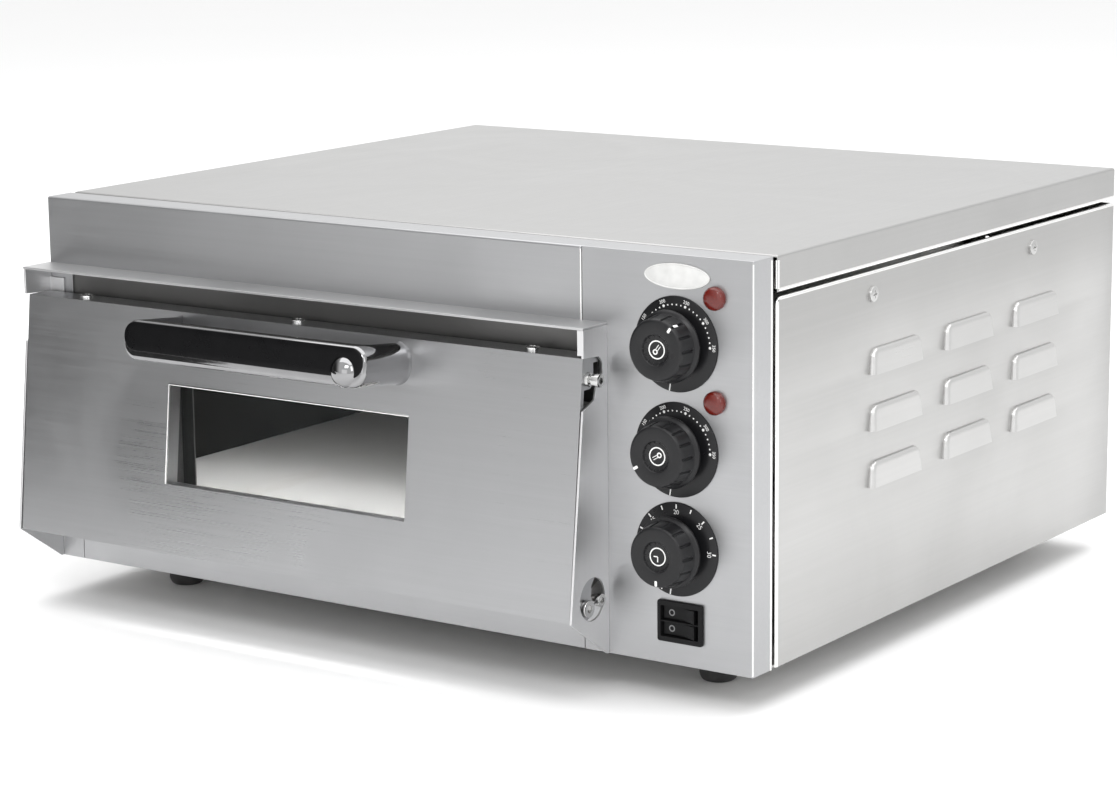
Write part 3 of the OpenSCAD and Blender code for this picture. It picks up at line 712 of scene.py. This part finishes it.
def painted_highlight_edges():
    """Round hems along the sheet edges on both sides of the right-hand joints, in near-white steel that paints
    their highlight.
    """
    lo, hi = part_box("side_panel_right")
    x = RIGHT_X - HEM_R
    front, head = lo.y + HEM_R, hi.z - HEM_R
    turn = 4 * MM
    path = [(x, front, lo.z)]
    path += [(x, front + turn * (1 - cos(a)), head - turn * (1 - sin(a)))
             for a in (pi / 2 * k / 8 for k in range(9))]
    path.append((x, hi.y, head))
    bead("side_panel_hem", "side_panel_right", path, HEM_R, hide=True)
    x += HEM_PROUD
    back = PANEL_HI.y - HEM_R + HEM_PROUD
    bead("return_hem", "control_panel", [(x, back, BASE_Z), (x, back, TOP_Z - 2 * MM)], HEM_R)
    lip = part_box("top_cover")[0]
    foot = lip.z + HEM_R - HEM_PROUD
    bead("cover_hem", "top_cover", [(x, lip.y + HEM_R, foot), (x, hi.y, foot)], HEM_R)
    front = lip.y + HEM_R - HEM_PROUD
    bead("cover_front_hem", "top_cover",
         [(x, front, lip.z + 2 * MM), (x, front, TOP_Z - 3 * MM)], HEM_R)


def front_edges_painted_highlight():
    """Rounded edges of the front sheets, the door and its window's left and top, in near-white steel that paints
    their highlight.
    """
    r = 0.8 * MM
    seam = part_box("front_fascia")[1].x
    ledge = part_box("hood_ledge")[1].z
    bead("fascia_edge", "front_fascia", [(seam - r, FRONT_Y + r, ledge),
                                         (seam - r, FRONT_Y + r, TOP_Z - 2 * MM)], r)
    r = 0.55 * MM
    bead("panel_fold", "control_panel", [(RIGHT_X - r, FRONT_Y + r, BASE_Z + MM),
                                         (RIGHT_X - r, FRONT_Y + r, TOP_Z - 2 * MM)], r)
    r = 1.2 * MM
    side = DOOR_HI.x - DOOR_MID - r
    length = (DOOR_TOP - SKIRT_TOP) / cos(LEAN)
    bead("door_fold", "door_outer_panel", [SLOPE @ Vector((side, v, -r))
                                           for v in (2 * MM, length - 2 * MM)], r)
    lo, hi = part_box("window_frame")
    w = (hi.x - lo.x) / 2 - 8 * MM
    low = 46.4 * MM
    high = low + (hi.z - lo.z) / cos(LEAN) - 16.5 * MM
    outline = [SLOPE @ Vector((x, v, -0.5 * MM)) for x, v in ((-w, low), (-w, high), (w, high))]
    bead("window_edge", "door_outer_panel", outline, 0.75 * MM)


def louvred_side():
    """Right side panel: a sheet with mouths cut in it and the louvres pressed out over them."""
    lo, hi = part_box("side_panel_right")
    lo = lo + Y * HEM_R
    hi = hi - Z * HEM_R
    w, h, t = 66 * MM, 16.5 * MM, 1.5 * MM
    depth = hi.x - RIGHT_X
    ys = [FRONT_Y + (172 + 98.5 * i) * MM for i in range(3)]
    zs = [BASE_Z + (88.8 + 36 * j) * MM for j in range(3)]
    cut_y = sorted([lo.y, hi.y] + [y + s * (w / 2 - 4 * MM) for y in ys for s in (-1, 1)])
    cut_z = sorted([lo.z, hi.z] + [z + d for z in zs for d in (0.0, 6 * MM)])
    shape = Shape()
    for i in range(len(cut_y) - 1):
        for j in range(len(cut_z) - 1):
            y, z = (cut_y[i] + cut_y[i + 1]) / 2, (cut_z[j] + cut_z[j + 1]) / 2
            if any(abs(y - c) < w / 2 - 4 * MM for c in ys) and any(c < z < c + 6 * MM for c in zs):
                continue
            corners = [(RIGHT_X, cut_y[a], cut_z[b]) for a, b in
                       ((i, j), (i + 1, j), (i + 1, j + 1), (i, j + 1))]
            shape.add((corners, [(0, 1, 2, 3)]))
    mesh = mesh_of("side_sheet", shape.verts, shape.faces)
    bm = bmesh.new()
    bm.from_mesh(mesh)
    bmesh.ops.remove_doubles(bm, verts=bm.verts, dist=1e-6)
    bmesh.ops.solidify(bm, geom=bm.faces[:], thickness=t)
    edges = [e for e in bm.edges if len(e.link_faces) == 2 and e.calc_face_angle(0) > radians(30)]
    bmesh.ops.bevel(bm, geom=edges, offset=0.3 * MM, segments=2, affect="EDGES", profile=0.5)
    corners, faces = part_from(bm)
    bpy.data.meshes.remove(mesh)
    shift = RIGHT_X - max(v.x for v in corners)
    panel = Shape().add(([v + X * shift for v in corners], faces))
    for y in ys:
        for z in zs:
            panel.add(louvre(w / MM, h / MM, depth / MM, 1.2), on_right(y, z), 1)
    panel.piece("side_panel_right_skin", "side_panel_right", [STEEL_Y, STEEL_LOUVRE_PAINTED_LIGHT], smooth=40)
    painted_highlight_edges()
    front_edges_painted_highlight()


# ---- handle
HANDLE_W = width("handle_bow")
HANDLE_H = 28
HANDLE_OFF = 46.2
HANDLE_V = 0.9 * (DOOR_TOP - SKIRT_TOP) / cos(LEAN) / MM
HANDLE_R = 10.5
LEG_T = 11
BAR_T = 12.2


def stacked(w, h, r, levels, steps=12):
    """Rounded rectangles of shrinking size, one per (inset, height) level."""
    return loft([[(x, y, z) for x, y in rounded(w - 2 * k, h - 2 * k, max(r - k, 0.3), steps)]
                 for k, z in levels])


def rounded_rim(top, r, steps=5):
    """Levels of a quarter round that ends at height top."""
    return [(r * (1 - cos(radians(90 * i / steps))),
             top - r + r * sin(radians(90 * i / steps))) for i in range(steps + 1)]


def cut_away(body, cutter):
    """The first part less the second."""
    made = []
    for verts, faces in (body, cutter):
        mesh = mesh_of("blank", verts, faces)
        cleaned(mesh)
        made.append(placed("blank", mesh))
    less = made[0].modifiers.new("less", "BOOLEAN")
    less.operation = "DIFFERENCE"
    less.solver = "EXACT"
    less.object = made[1]
    part = part_of(made[0])
    bpy.data.objects.remove(made[1])
    return part


def handle():
    here = SLOPE @ move(0, HANDLE_V, 0)
    foot = [(-1.0, 0.0), (-0.9, 0.4), (-0.35, 1.4), (0.0, 3.2)]
    block = stacked(HANDLE_W - 2, HANDLE_H - 2, HANDLE_R,
                    foot + [(0, 12), (0, 24)] + rounded_rim(HANDLE_OFF, 3.2))
    gap = loft([[(x, v, y) for x, y in rounded(HANDLE_W - 2 * LEG_T, 2 * (HANDLE_OFF - BAR_T),
                                                6.5, 8)] for v in (20, -20)])
    bow = Shape().add(cut_away(block, gap), here).piece("handle_bow_cast", "handle_bow", [CHROME],
                                                        smooth=38)
    rounded_edges(bow, 1.1 * MM, "ANGLE").angle_limit = radians(40)
    strip = stacked(HANDLE_W - 5, 18.8, 9, [(0.3, HANDLE_OFF - 4), (0, HANDLE_OFF - 0.2)]
                    + rounded_rim(HANDLE_OFF + 0.7, 0.6, 3) + [(4, HANDLE_OFF + 0.75)])
    Shape().add(strip, here @ move(0, 2.6, 0)).piece(
        "handle_grip_inlay", "handle_grip", [GRIP], smooth=50)
    r = 10.8
    seat = [(0, 45.6), (9.85, 45.6)]
    dome = [(r * cos(radians(a)), 41.2 + r * sin(radians(a))) for a in range(24, 91, 3)]
    at = move((middle("handle_stud").x - DOOR_MID) / MM, -3.4, 0)
    Shape().add(lathe(seat + dome, 96), here @ at).piece(
        "handle_stud_dome", "handle_stud", [CHROME], smooth=60)


# ---- controls
KNOB_OUT = proud("knob_upper")
SKIRT_R = width("knob_upper") / 2
DIAL_R = width("dial_rings") / 2
DIAL_T = proud("dial_rings")
# Grooves round each knob: how many and how deep
FLUTES = 14
GROOVE = 1.1
# Pointer of each knob in the stored pose, clockwise from twelve o'clock
POINTER = {"upper": 38, "lower": -120, "timer": 180}


def clock(angle, radius):
    """Point on a dial at an angle clockwise from twelve o'clock."""
    a = radians(90 - angle)
    return radius * cos(a), radius * sin(a)


def knob(name):
    top = KNOB_OUT
    skirt = 8.5
    grip = SKIRT_R - 2.5
    profile = [(0, 2), (13.6, 2), (14, 2.4), (14, skirt - 0.2),
               (SKIRT_R - 0.8, skirt), (SKIRT_R - 0.2, skirt + 0.25),
               (SKIRT_R, skirt + 0.8), (SKIRT_R, skirt + 1.7),
               (SKIRT_R - 0.4, skirt + 2.3), (grip + 1.2, skirt + 2.9),
               (grip + 0.45, skirt + 3.4), (grip + 0.25, skirt + 4.2)]
    body = [(grip + 0.2 - 0.9 * k / 6, skirt + 4.4 + (top - skirt - 6.6) * k / 6) for k in range(7)]
    crown = [(grip - 0.9, top - 1.5), (grip - 1.3, top - 0.7),
             (grip - 2.0, top - 0.15), (grip - 2.8, top),
             (10.2, top - 0.1), (9.6, top - 0.25), (9.2, top - 0.7),
             (8.8, top - 1.9), (8.2, top - 2.2), (0, top - 2.2)]

    def groove(angle, w):
        if w < skirt + 4.3 or w > top - 1.0:
            return 0.0
        pitch = 2 * pi / FLUTES
        away = abs((angle + pitch / 2) % pitch - pitch / 2) * grip
        return GROOVE * max(0.0, 1 - away ** 2)

    at = JOINT_AT[name + "_knob_turn"]
    here = on_panel(at.x, at.z)
    shape = Shape().add(lathe(profile + body + crown, 504, groove), here)
    shape.piece("knob_" + name + "_moulding", "knob_" + name, [KNOB], smooth=32)
    marks = Shape()
    turn = here @ turned(-POINTER[name])
    raised = move(0, grip - 3.4, top - 0.05)
    marks.add(slab(rounded(1.7, 3.4, 0.5, 3), 0, 0.16, 0.05), turn @ raised)
    side_mark = move(0, grip - 0.75, top - 4.4)
    tip = turned(-90, "X")
    marks.add(slab(rounded(1.7, 4.6, 0.5, 3), 0, 0.2, 0.05), turn @ side_mark @ tip)
    floor = move(0, 0, top - 2.22)
    marks.add(annulus(4.9, 5.7, 0, 0.1), here @ floor)
    if name == "timer":
        for length, angle in ((3.4, 0), (2.9, 90)):
            x, y = clock(angle, length / 2)
            hand = move(x, y, 0) @ turned(-angle)
            marks.add(slab(rounded(0.7, length, 0.3, 3), 0, 0.1, 0.03), turn @ floor @ hand)
    else:
        bulb = move(0, -1.7, 0)
        marks.add(annulus(0.9, 1.7, 0, 0.1, 32), turn @ floor @ bulb)
        for s in (-1, 1):
            stem = move(s * 0.75, 1.4, 0)
            marks.add(slab(rounded(0.45, 4.0, 0.2, 3), 0, 0.1, 0.03), turn @ floor @ stem)
    marks.piece("knob_" + name + "_marks", "knob_" + name, [WHITE_PRINT], hide=False)


def dial_face():
    return lathe([(5.3, 0), (DIAL_R, 0), (DIAL_R, DIAL_T * 0.55), (DIAL_R - 0.15, DIAL_T * 0.85),
                  (DIAL_R - 0.5, DIAL_T), (5.3, DIAL_T)], 144)


def dial_mark(shape, here, angle, radius, part, upright=False):
    """Lays a mark on the dial, turned with its angle unless upright."""
    spot = move(*clock(angle, radius), DIAL_T)
    shape.add(part, here @ spot @ turned(0 if upright else -angle))


def stroke(w, h):
    """Short printed bar."""
    return slab(rounded(w, h, 0.2, 3), -0.05, 0.06, 0.02)


def index_line(shape, here):
    dial_mark(shape, here, 189, 25.4, stroke(0.8, 6.4))


def dot(radius):
    return slab(ellipse(radius, radius, 20), -0.05, 0.06, 0.02)


def thermostat_scale(shape, here):
    """Dots every ten degrees C, larger every fifty, with numerals outside them."""
    per_fifty = 36.8
    for step in range(0, 26):
        angle = 90 - per_fifty * step / 5
        big = step % 5 == 0
        dial_mark(shape, here, angle, 23.9, dot(0.85 if big else 0.5), upright=True)
        if big:
            dial_mark(shape, here, angle, 26.5, glyphs(str(350 - 10 * step), 2.9))
    index_line(shape, here)


def timer_scale(shape, here):
    """Radial ticks every two and a half minutes, numerals every five inside them."""
    for step in range(1, 13):
        angle = 180 + 22.5 * step
        dial_mark(shape, here, angle, 26.6, stroke(0.9, 2.6))
        if step % 2 == 0:
            dial_mark(shape, here, angle, 23.0, glyphs(str(step * 5 // 2), 4.0))
    index_line(shape, here)


def dials():
    faces, marks = Shape(), Shape()
    for name in ("upper", "lower", "timer"):
        at = JOINT_AT[name + "_knob_turn"]
        here = on_panel(at.x, at.z)
        faces.add(dial_face(), here)
        (timer_scale if name == "timer" else thermostat_scale)(marks, here)
    faces.piece("dial_ring_films", "dial_rings", [DIAL], smooth=30)
    marks.piece("dial_marks", "dial_rings", [WHITE_PRINT], hide=False)


def lamps():
    lo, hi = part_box("lamp_lenses")
    r = width("lamp_lenses") / 2
    out = proud("lamp_lenses")
    shape = Shape()
    for z in (lo.z + r * MM, hi.z - r * MM):
        dome = [(0, 0), (r, 0), (r, out * 0.42), (r - 0.25, out * 0.58), (r - 0.9, out * 0.70)]
        dome += [((r - 0.9) * cos(radians(k * 15)),
                  out * (0.70 + 0.28 * sin(radians(k * 15)))) for k in range(1, 7)]
        shape.add(lathe(dome, 72), on_panel((lo.x + hi.x) / 2, z))
    shape.piece("lamp_lens_domes", "lamp_lenses", [LENS], smooth=40)


def badge():
    lo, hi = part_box("badge_plate")
    a, b = (hi.x - lo.x) / 2 / MM, (hi.z - lo.z) / 2 / MM
    t = proud("badge_plate")
    mid = middle("badge_plate")
    here = on_panel(mid.x, mid.z)
    shape = Shape().add(slab(ellipse(a, b), 0, t * 0.85, 0.3), here)
    rim = [[(p[0] * k, p[1] * (1 - (1 - k) * a / b), w) for p in ellipse(a, b)]
           for k, w in ((0.992, t * 0.7), (0.992, t * 0.95), (0.985, t), (0.965, t), (0.955, t * 0.8))]
    shape.add(loft(rim, (False, False)), here)
    shape.piece("badge_blank", "badge_plate", [BADGE_FACE], smooth=40)


def rocker_part(z_len):
    """Rocker with a slightly hollow touch face, in the switch's own frame."""
    rings = []
    for edge, share in ((0.35, -0.5), (0, -0.46), (0, 0), (0, 0.46), (0.35, 0.5)):
        v = share * z_len
        front = [(u, v, (6.2 - 1.7 * cos(radians(90 * abs(u) / 12)) - edge))
                 for u in range(-12, 13)]
        back = [(10, v, -2.5), (3, v, -5), (-3, v, -5), (-10, v, -2.5)]
        rings.append(front + back)
    return loft(rings)


def switch():
    lo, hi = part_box("switch_housing")
    mid = middle("switch_housing")
    here = on_panel(mid.x, mid.z)
    w, h = (hi.x - lo.x) / MM, (hi.z - lo.z) / MM
    out = proud("switch_housing")
    outer = rounded(w, h, 1.6, 5)
    bezel = []
    for k, d in ((1.0, 0.0), (1.0, out * 0.55), (0.992, out * 0.85), (0.97, out), (0.86, out)):
        bezel.append([(x * k, y * (1 - (1 - k) * w / h * 0.62), d) for x, y in outer])
    hole = rounded(26.8, 19.2, 0.6, 5)
    bezel += [[(x, y, out) for x, y in hole], [(x, y, -11) for x, y in hole]]
    shape = Shape().add(loft(bezel, (False, True)), here)
    bar = slab(rounded(26.8, 0.8, 0.2, 2), -11, out * 0.9, 0.15)
    shape.add(bar, here)
    shape.piece("switch_bezel", "switch_housing", [BLACK], smooth=32)
    for name in ("upper", "lower"):
        at = JOINT_AT[name + "_rocker_tilt"]
        lo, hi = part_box("rocker_" + name)
        tilt = basis((at.x, at.y, (lo.z + hi.z) / 2), X, Z, -Y) @ turned(-9, "Y")
        Shape().add(rocker_part((hi.z - lo.z) / MM), tilt).piece(
            "rocker_" + name + "_cap", "rocker_" + name, [BLACK], smooth=32)
        face = move(-6.4, 0, 5.07) @ turned(9.4, "Y")
        Shape().add(annulus(1.35, 2.1, 0, 0.08, 32), tilt @ face).piece(
            "rocker_" + name + "_mark", "rocker_" + name, [GREY_PRINT], hide=False)


# ---- fasteners and feet
def cross_head(r, h):
    """Pan head with a cross recess, standing up along w."""
    steps, rows = 96, 26
    rings = []
    for j in range(rows + 1):
        q = j / rows
        ring = []
        for i in range(steps):
            a = 2 * pi * i / steps
            rad = r * sin(q * pi / 2) if q < 1 else r
            w = h * (0.45 + 0.55 * cos(q * pi / 2) ** 0.7)
            x, y = rad * cos(a), rad * sin(a)
            arm, half = 0.52 * r, 0.10 * r
            inside = max(0.0, min(1.0, (half - min(abs(x), abs(y))) / (0.05 * r) + 0.5))
            reach = max(0.0, min(1.0, (arm - max(abs(x), abs(y))) / (0.06 * r)))
            ring.append((x, y, w - 0.42 * h * inside * reach))
        rings.append(ring)
    rings.append([(x, y, 0) for x, y, _ in rings[-1]])
    return loft(rings)


def socket_head(r, h, hexagon):
    """Cap head with a hexagon socket."""
    outer = ellipse(r, r, 72)
    inner = [around(hexed(hexagon, k), k, 72) for k in range(72)]
    rings = [[(x, y, 0) for x, y in outer], [(x, y, h * 0.86) for x, y in outer],
             [(x * 0.97, y * 0.97, h * 0.96) for x, y in outer],
             [(x * 0.9, y * 0.9, h) for x, y in outer], [(x, y, h) for x, y in inner],
             [(x, y, h * 0.35) for x, y in inner]]
    return loft(rings)


def screws():
    lo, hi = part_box("panel_screws")
    out = (hi.x - RIGHT_X) / MM
    shape = Shape()
    for y in (142, 364):
        for side in (on_right, on_left):
            shape.add(cross_head(5, out), side(FRONT_Y + y * MM, BASE_Z + 211.5 * MM))
    for x in (LEFT_X + 30 * MM, (LEFT_X + RIGHT_X) / 2, RIGHT_X - 30 * MM):
        for z in (20, 205):
            shape.add(cross_head(4.5, out), on_back(x, BASE_Z + z * MM))
    shape.piece("panel_screw_heads", "panel_screws", [SCREW], smooth=38)
    lo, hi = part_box("door_screws")
    shape = Shape()
    for k in (-1, 0, 1):
        up = basis((DOOR_MID + k * 183 * MM, (lo.y + hi.y) / 2, DOOR_TOP), X, Y, Z)
        shape.add(cross_head(4.5, (hi.z - DOOR_TOP) / MM), up)
    shape.piece("door_screw_heads", "door_screws", [BRIGHT], smooth=38)


def hex_nut(r, h):
    """Nut with six flats and chamfered corners."""
    low = r * 0.88
    flat = r * cos(radians(30))
    return loft([[(*around(min(hexed(flat, k), cut), k, 72), w) for k in range(72)]
                 for cut, w in ((low, 0), (r, 0.16 * h), (r, 0.84 * h), (low, h), (r * 0.5, h))])


def hinge_hardware():
    for node, r, hexagon in (("pivot_bolts", 5.5, 2.4), ("stop_bolts", 4, 1.9)):
        lo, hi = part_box(node)
        mid = middle(node)
        shape = Shape()
        for face, end, u in ((DOOR_HI.x + 0.3 * MM, hi.x, 1), (DOOR_LO.x - 0.3 * MM, lo.x, -1)):
            here = basis((face, mid.y, mid.z), Y * u, Z, X * u)
            shape.add(socket_head(r, abs(end - face) / MM, hexagon), here)
            shape.add(lathe([(0, -6.5), (r * 0.62, -6.5), (r * 0.62, 0), (0, 0)], 48), here)
        shape.piece(node + "_turned", node, [PIN], smooth=35)
    lo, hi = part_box("latch_pin")
    y, z = JOINT_AT["door_hinge"].y + 3.5 * MM, JOINT_AT["door_hinge"].z + 141 * MM
    here = basis((DOOR_HI.x, y, z), Y, Z, X)
    shape = Shape().add(lathe([(0, -6), (2.5, -6), (2.5, 6), (0, 6)], 48), here)
    shape.add(hex_nut(4.5, 3), here)
    shape.add(socket_head(4.2, (hi.x - DOOR_HI.x) / MM - 5.5, 1.9), here @ move(0, 0, 5.5))
    shape.piece("latch_pin_turned", "latch_pin", [PIN], smooth=35)


def feet():
    lo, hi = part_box("rubber_feet")
    r = 13
    h = (hi.z - lo.z) / MM
    profile = [(5.5, 0), (r - 4.4, 0), (r - 3.0, 0.5), (r - 2.0, 1.5),
               (r - 1.3, 3.0), (r - 0.85, 5.0), (r - 0.4, h - 6.0),
               (r - 0.1, h - 3.0), (r, h - 1.0), (r - 0.2, h), (0, h)]
    inner = [(0, 12), (5.3, 12), (5.5, 11.7)]
    shape = Shape()
    for x in (lo.x + r * MM, hi.x - r * MM):
        for y in (lo.y + r * MM, hi.y - r * MM):
            shape.add(lathe(inner + profile, 72), basis((x, y, lo.z), X, Y, Z))
    shape.piece("rubber_feet_moulded", "rubber_feet", [RUBBER], smooth=38)


# ---- inside
def hairpins(node):
    """Tubular elements with smooth bends and their crimped terminals."""
    lo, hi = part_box(node)
    r = (hi.z - lo.z) / 2
    z = (lo.z + hi.z) / 2
    turn = 32 * MM
    shape = Shape()
    for k in range(3):
        y = lo.y + turn + r + k * 130 * MM
        x0 = lo.x + turn + r
        x1 = hi.x - 10 * MM
        path = [Vector((x1 + (x0 - x1) * i / 24, y + turn, z)) for i in range(24)]
        path += [Vector((x0 - turn * sin(a), y + turn * cos(a), z))
                 for a in (pi * i / 24 for i in range(25))]
        path += [Vector((x0 + (x1 - x0) * i / 24, y - turn, z)) for i in range(1, 25)]
        shape.add(tube(path, r, 20))
        for s in (-1, 1):
            here = basis((x1, y + s * turn, z), Y, Z, X)
            shape.add(lathe([(0, 0), (1.8, 0), (1.8, 9.6), (1.3, 10), (0, 10)], 24), here)
    shape.piece(node + "_tubes", node, [SHEATH], smooth=40)


def rope_seal():
    """Braided rope laid round the door's inner face."""
    lo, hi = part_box("door_seal")
    r = (hi.y - lo.y) / 2
    w, h = hi.x - lo.x - 10 * MM, hi.z - lo.z - 10 * MM
    mid = middle("door_seal")
    outline = rounded(w, h, 14 * MM, 10)
    path = []
    for i, p in enumerate(outline):
        q = outline[(i + 1) % len(outline)]
        n = max(1, int(dist(p, q) / (2 * MM)))
        path += [mid + X * (p[0] + (q[0] - p[0]) * k / n) + Z * (p[1] + (q[1] - p[1]) * k / n)
                 for k in range(n)]
    shape = Shape().add(tube(path, r * 0.98, 12, loop=True, wobble=lambda i: 1 - 0.10 * (i % 2)))
    shape.piece("door_seal_rope", "door_seal", [BRAID], smooth=80)


def stone_deck():
    """Slab with slightly uneven faces and worn edges."""
    lo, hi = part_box("deck_stone")
    bm = bmesh.new()
    bmesh.ops.create_grid(bm, x_segments=80, y_segments=80, size=0.5)
    size = hi - lo
    for v in bm.verts:
        x, y = lo.x + (v.co.x + 0.5) * size.x, lo.y + (v.co.y + 0.5) * size.y
        edge = min(x - lo.x, hi.x - x, y - lo.y, hi.y - y)
        chip = 0.5 * MM * noise.noise(Vector((x, y, 0)) * 45)
        wear = 1.0 * MM * max(0.0, 1 - edge / (5 * MM)) ** 2
        v.co = Vector((x, y, hi.z - 0.6 * MM - wear + chip * 0.5))
    rim = bmesh.ops.extrude_face_region(bm, geom=bm.faces[:])
    for v in (g for g in rim["geom"] if isinstance(g, bmesh.types.BMVert)):
        v.co.z = lo.z
    Shape().add(part_from(bm)).piece("deck_stone_slab", "deck_stone", [STONE], smooth=45)


def inner_parts():
    skins(2.0, ("insulation_top insulation_bottom insulation_sides insulation_rear", WOOL),
          ("door_insulation", DOOR_WOOL_PAINTED_SHADE))
    skins(0.6, ("thermostat_bodies timer_body terminal_block lamp_bodies", CERAMIC))
    skins(0.1, ("thermostat_probes", COPPER))
    skins(0.6, ("cable_gland", BLACK))
    skins(0.4, ("window_glass", GLASS))
    skins(0.3, ("foot_screws handle_screws spindle_upper spindle_lower spindle_timer", BRIGHT))
    hairpins("upper_heaters")
    hairpins("lower_heaters")
    rope_seal()
    stone_deck()


# ---- studio
CAM_AZIMUTH, CAM_ELEVATION, CAM_ROLL = 34.744, 11.535, -0.640
CAM_LENS = 99.55
CAM_FROM_CABINET = Vector((1.19358, -1.51699, 0.53026))
# Where the surround starts and stops brightening along the light's direction, and its strengths
AIR_RANGE = (-0.90, -0.42, 0.05, 1.10)
FLOOR = 14.0


def camera():
    a, e = radians(CAM_AZIMUTH), radians(CAM_ELEVATION)
    back = Vector((sin(a) * cos(e), -cos(a) * cos(e), sin(e)))
    right = (-back).cross(Z).normalized()
    data = bpy.data.cameras.new("studio_camera")
    data.lens = CAM_LENS
    data.sensor_width = 36
    data.sensor_fit = "HORIZONTAL"
    ob = placed("studio_camera", data)
    cabinet = Vector(((LEFT_X + RIGHT_X) / 2, FRONT_Y, BASE_Z))
    upright = basis(cabinet + CAM_FROM_CABINET, right, right.cross(-back), back)
    ob.matrix_world = upright @ turned(CAM_ROLL)
    bpy.context.scene.camera = ob


def softbox(name, at, toward, width, height, power):
    data = bpy.data.lights.new(name, "AREA")
    data.shape = "RECTANGLE"
    data.size = width
    data.size_y = height
    data.energy = power
    ob = placed(name, data)
    ob.visible_camera = False
    ob.location = at
    ob.rotation_euler = (Vector(toward) - Vector(at)).to_track_quat("-Z", "Y").to_euler()


def studio_air():
    """Even white surround that falls off towards the front left."""
    world = bpy.data.worlds.new("studio_air")
    bpy.context.scene.world = world
    world.use_nodes = True
    air = Nodes(world.node_tree)
    background = air.tree.nodes["Background"].inputs
    where = air.tree.nodes.new("ShaderNodeTexCoord").outputs["Generated"]
    along = air.node("VectorMath", "Value", (0, where), (1, (0.98, 0.20, 0.08)),
                     operation="DOT_PRODUCT")
    air.feed(background["Strength"], air.remap(along, *AIR_RANGE, interpolation_type="SMOOTHSTEP"))
    air.feed(background["Color"], (1.0, 1.0, 1.0))


def reflection_card():
    """Dark card low at the front left that only mirror-like reflections can see."""
    near_end, far_end = Vector((-0.60, -0.90, 0)), Vector((-1.35, -0.15, 0))
    steps = 12
    verts = []
    for i in range(steps + 1):
        foot = near_end.lerp(far_end, i / steps)
        verts += [foot, foot + Z * (0.10 + 0.55 * i / steps)]
    faces = [(2 * i, 2 * i + 2, 2 * i + 3, 2 * i + 1) for i in range(steps)]
    mesh = mesh_of("reflection_card", verts, faces)
    card = placed("reflection_card", mesh)
    for ray in ("camera", "diffuse", "shadow", "transmission"):
        setattr(card, "visible_" + ray, False)
    felt = Shader("black_felt", (0.03, 0.03, 0.03), roughness=0.95)
    felt.color(felt.mixed(felt.noise(300.0, 3.0), (0.02, 0.02, 0.02), (0.05, 0.05, 0.05)))
    mesh.materials.append(felt.mat)


def studio():
    studio_air()
    reflection_card()
    softbox("softbox_top", (0.0, 0.45, 2.2), (0, 0.35, 0), 3.2, 3.2, 50)
    softbox("softbox_fill", (0.6, -2.4, 0.5), (0.1, 0, 0.05), 1.4, 1.0, 3)
    softbox("softbox_front", (0.75, -1.6, 1.5), (0, 0, 0.15), 0.7, 0.5, 9)
    softbox("softbox_right", (1.9, -1.1, 1.2), (0, 0, 0.25), 0.5, 1.2, 5)
    mouth_lo, mouth_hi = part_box("chamber_liner")
    at = Vector(((mouth_lo.x + mouth_hi.x) / 2, mouth_lo.y + 26 * MM, mouth_hi.z - 7 * MM))
    softbox("chamber_glow", at, at + Vector((0, 26 * MM, -100 * MM)), 0.36, 0.03, 0.40)
    corners = [(-FLOOR, -FLOOR, 0), (FLOOR, -FLOOR, 0), (FLOOR, FLOOR, 0), (-FLOOR, FLOOR, 0)]
    mesh = mesh_of("studio_floor", corners, [(0, 1, 2, 3)])
    floor = placed("studio_floor", mesh)
    paper = Shader("studio_paper", (0.92, 0.92, 0.92), roughness=0.9)
    paper.color(paper.mixed(paper.noise(3.0, 2.0), (0.915, 0.915, 0.915), (0.925, 0.925, 0.925)))
    mesh.materials.append(paper.mat)
    bpy.context.scene.view_settings.view_transform = "Standard"


camera()
studio()
casing()
louvred_side()
handle()
for which in ("upper", "lower", "timer"):
    knob(which)
dials()
lamps()
badge()
switch()
screws()
hinge_hardware()
feet()
inner_parts()
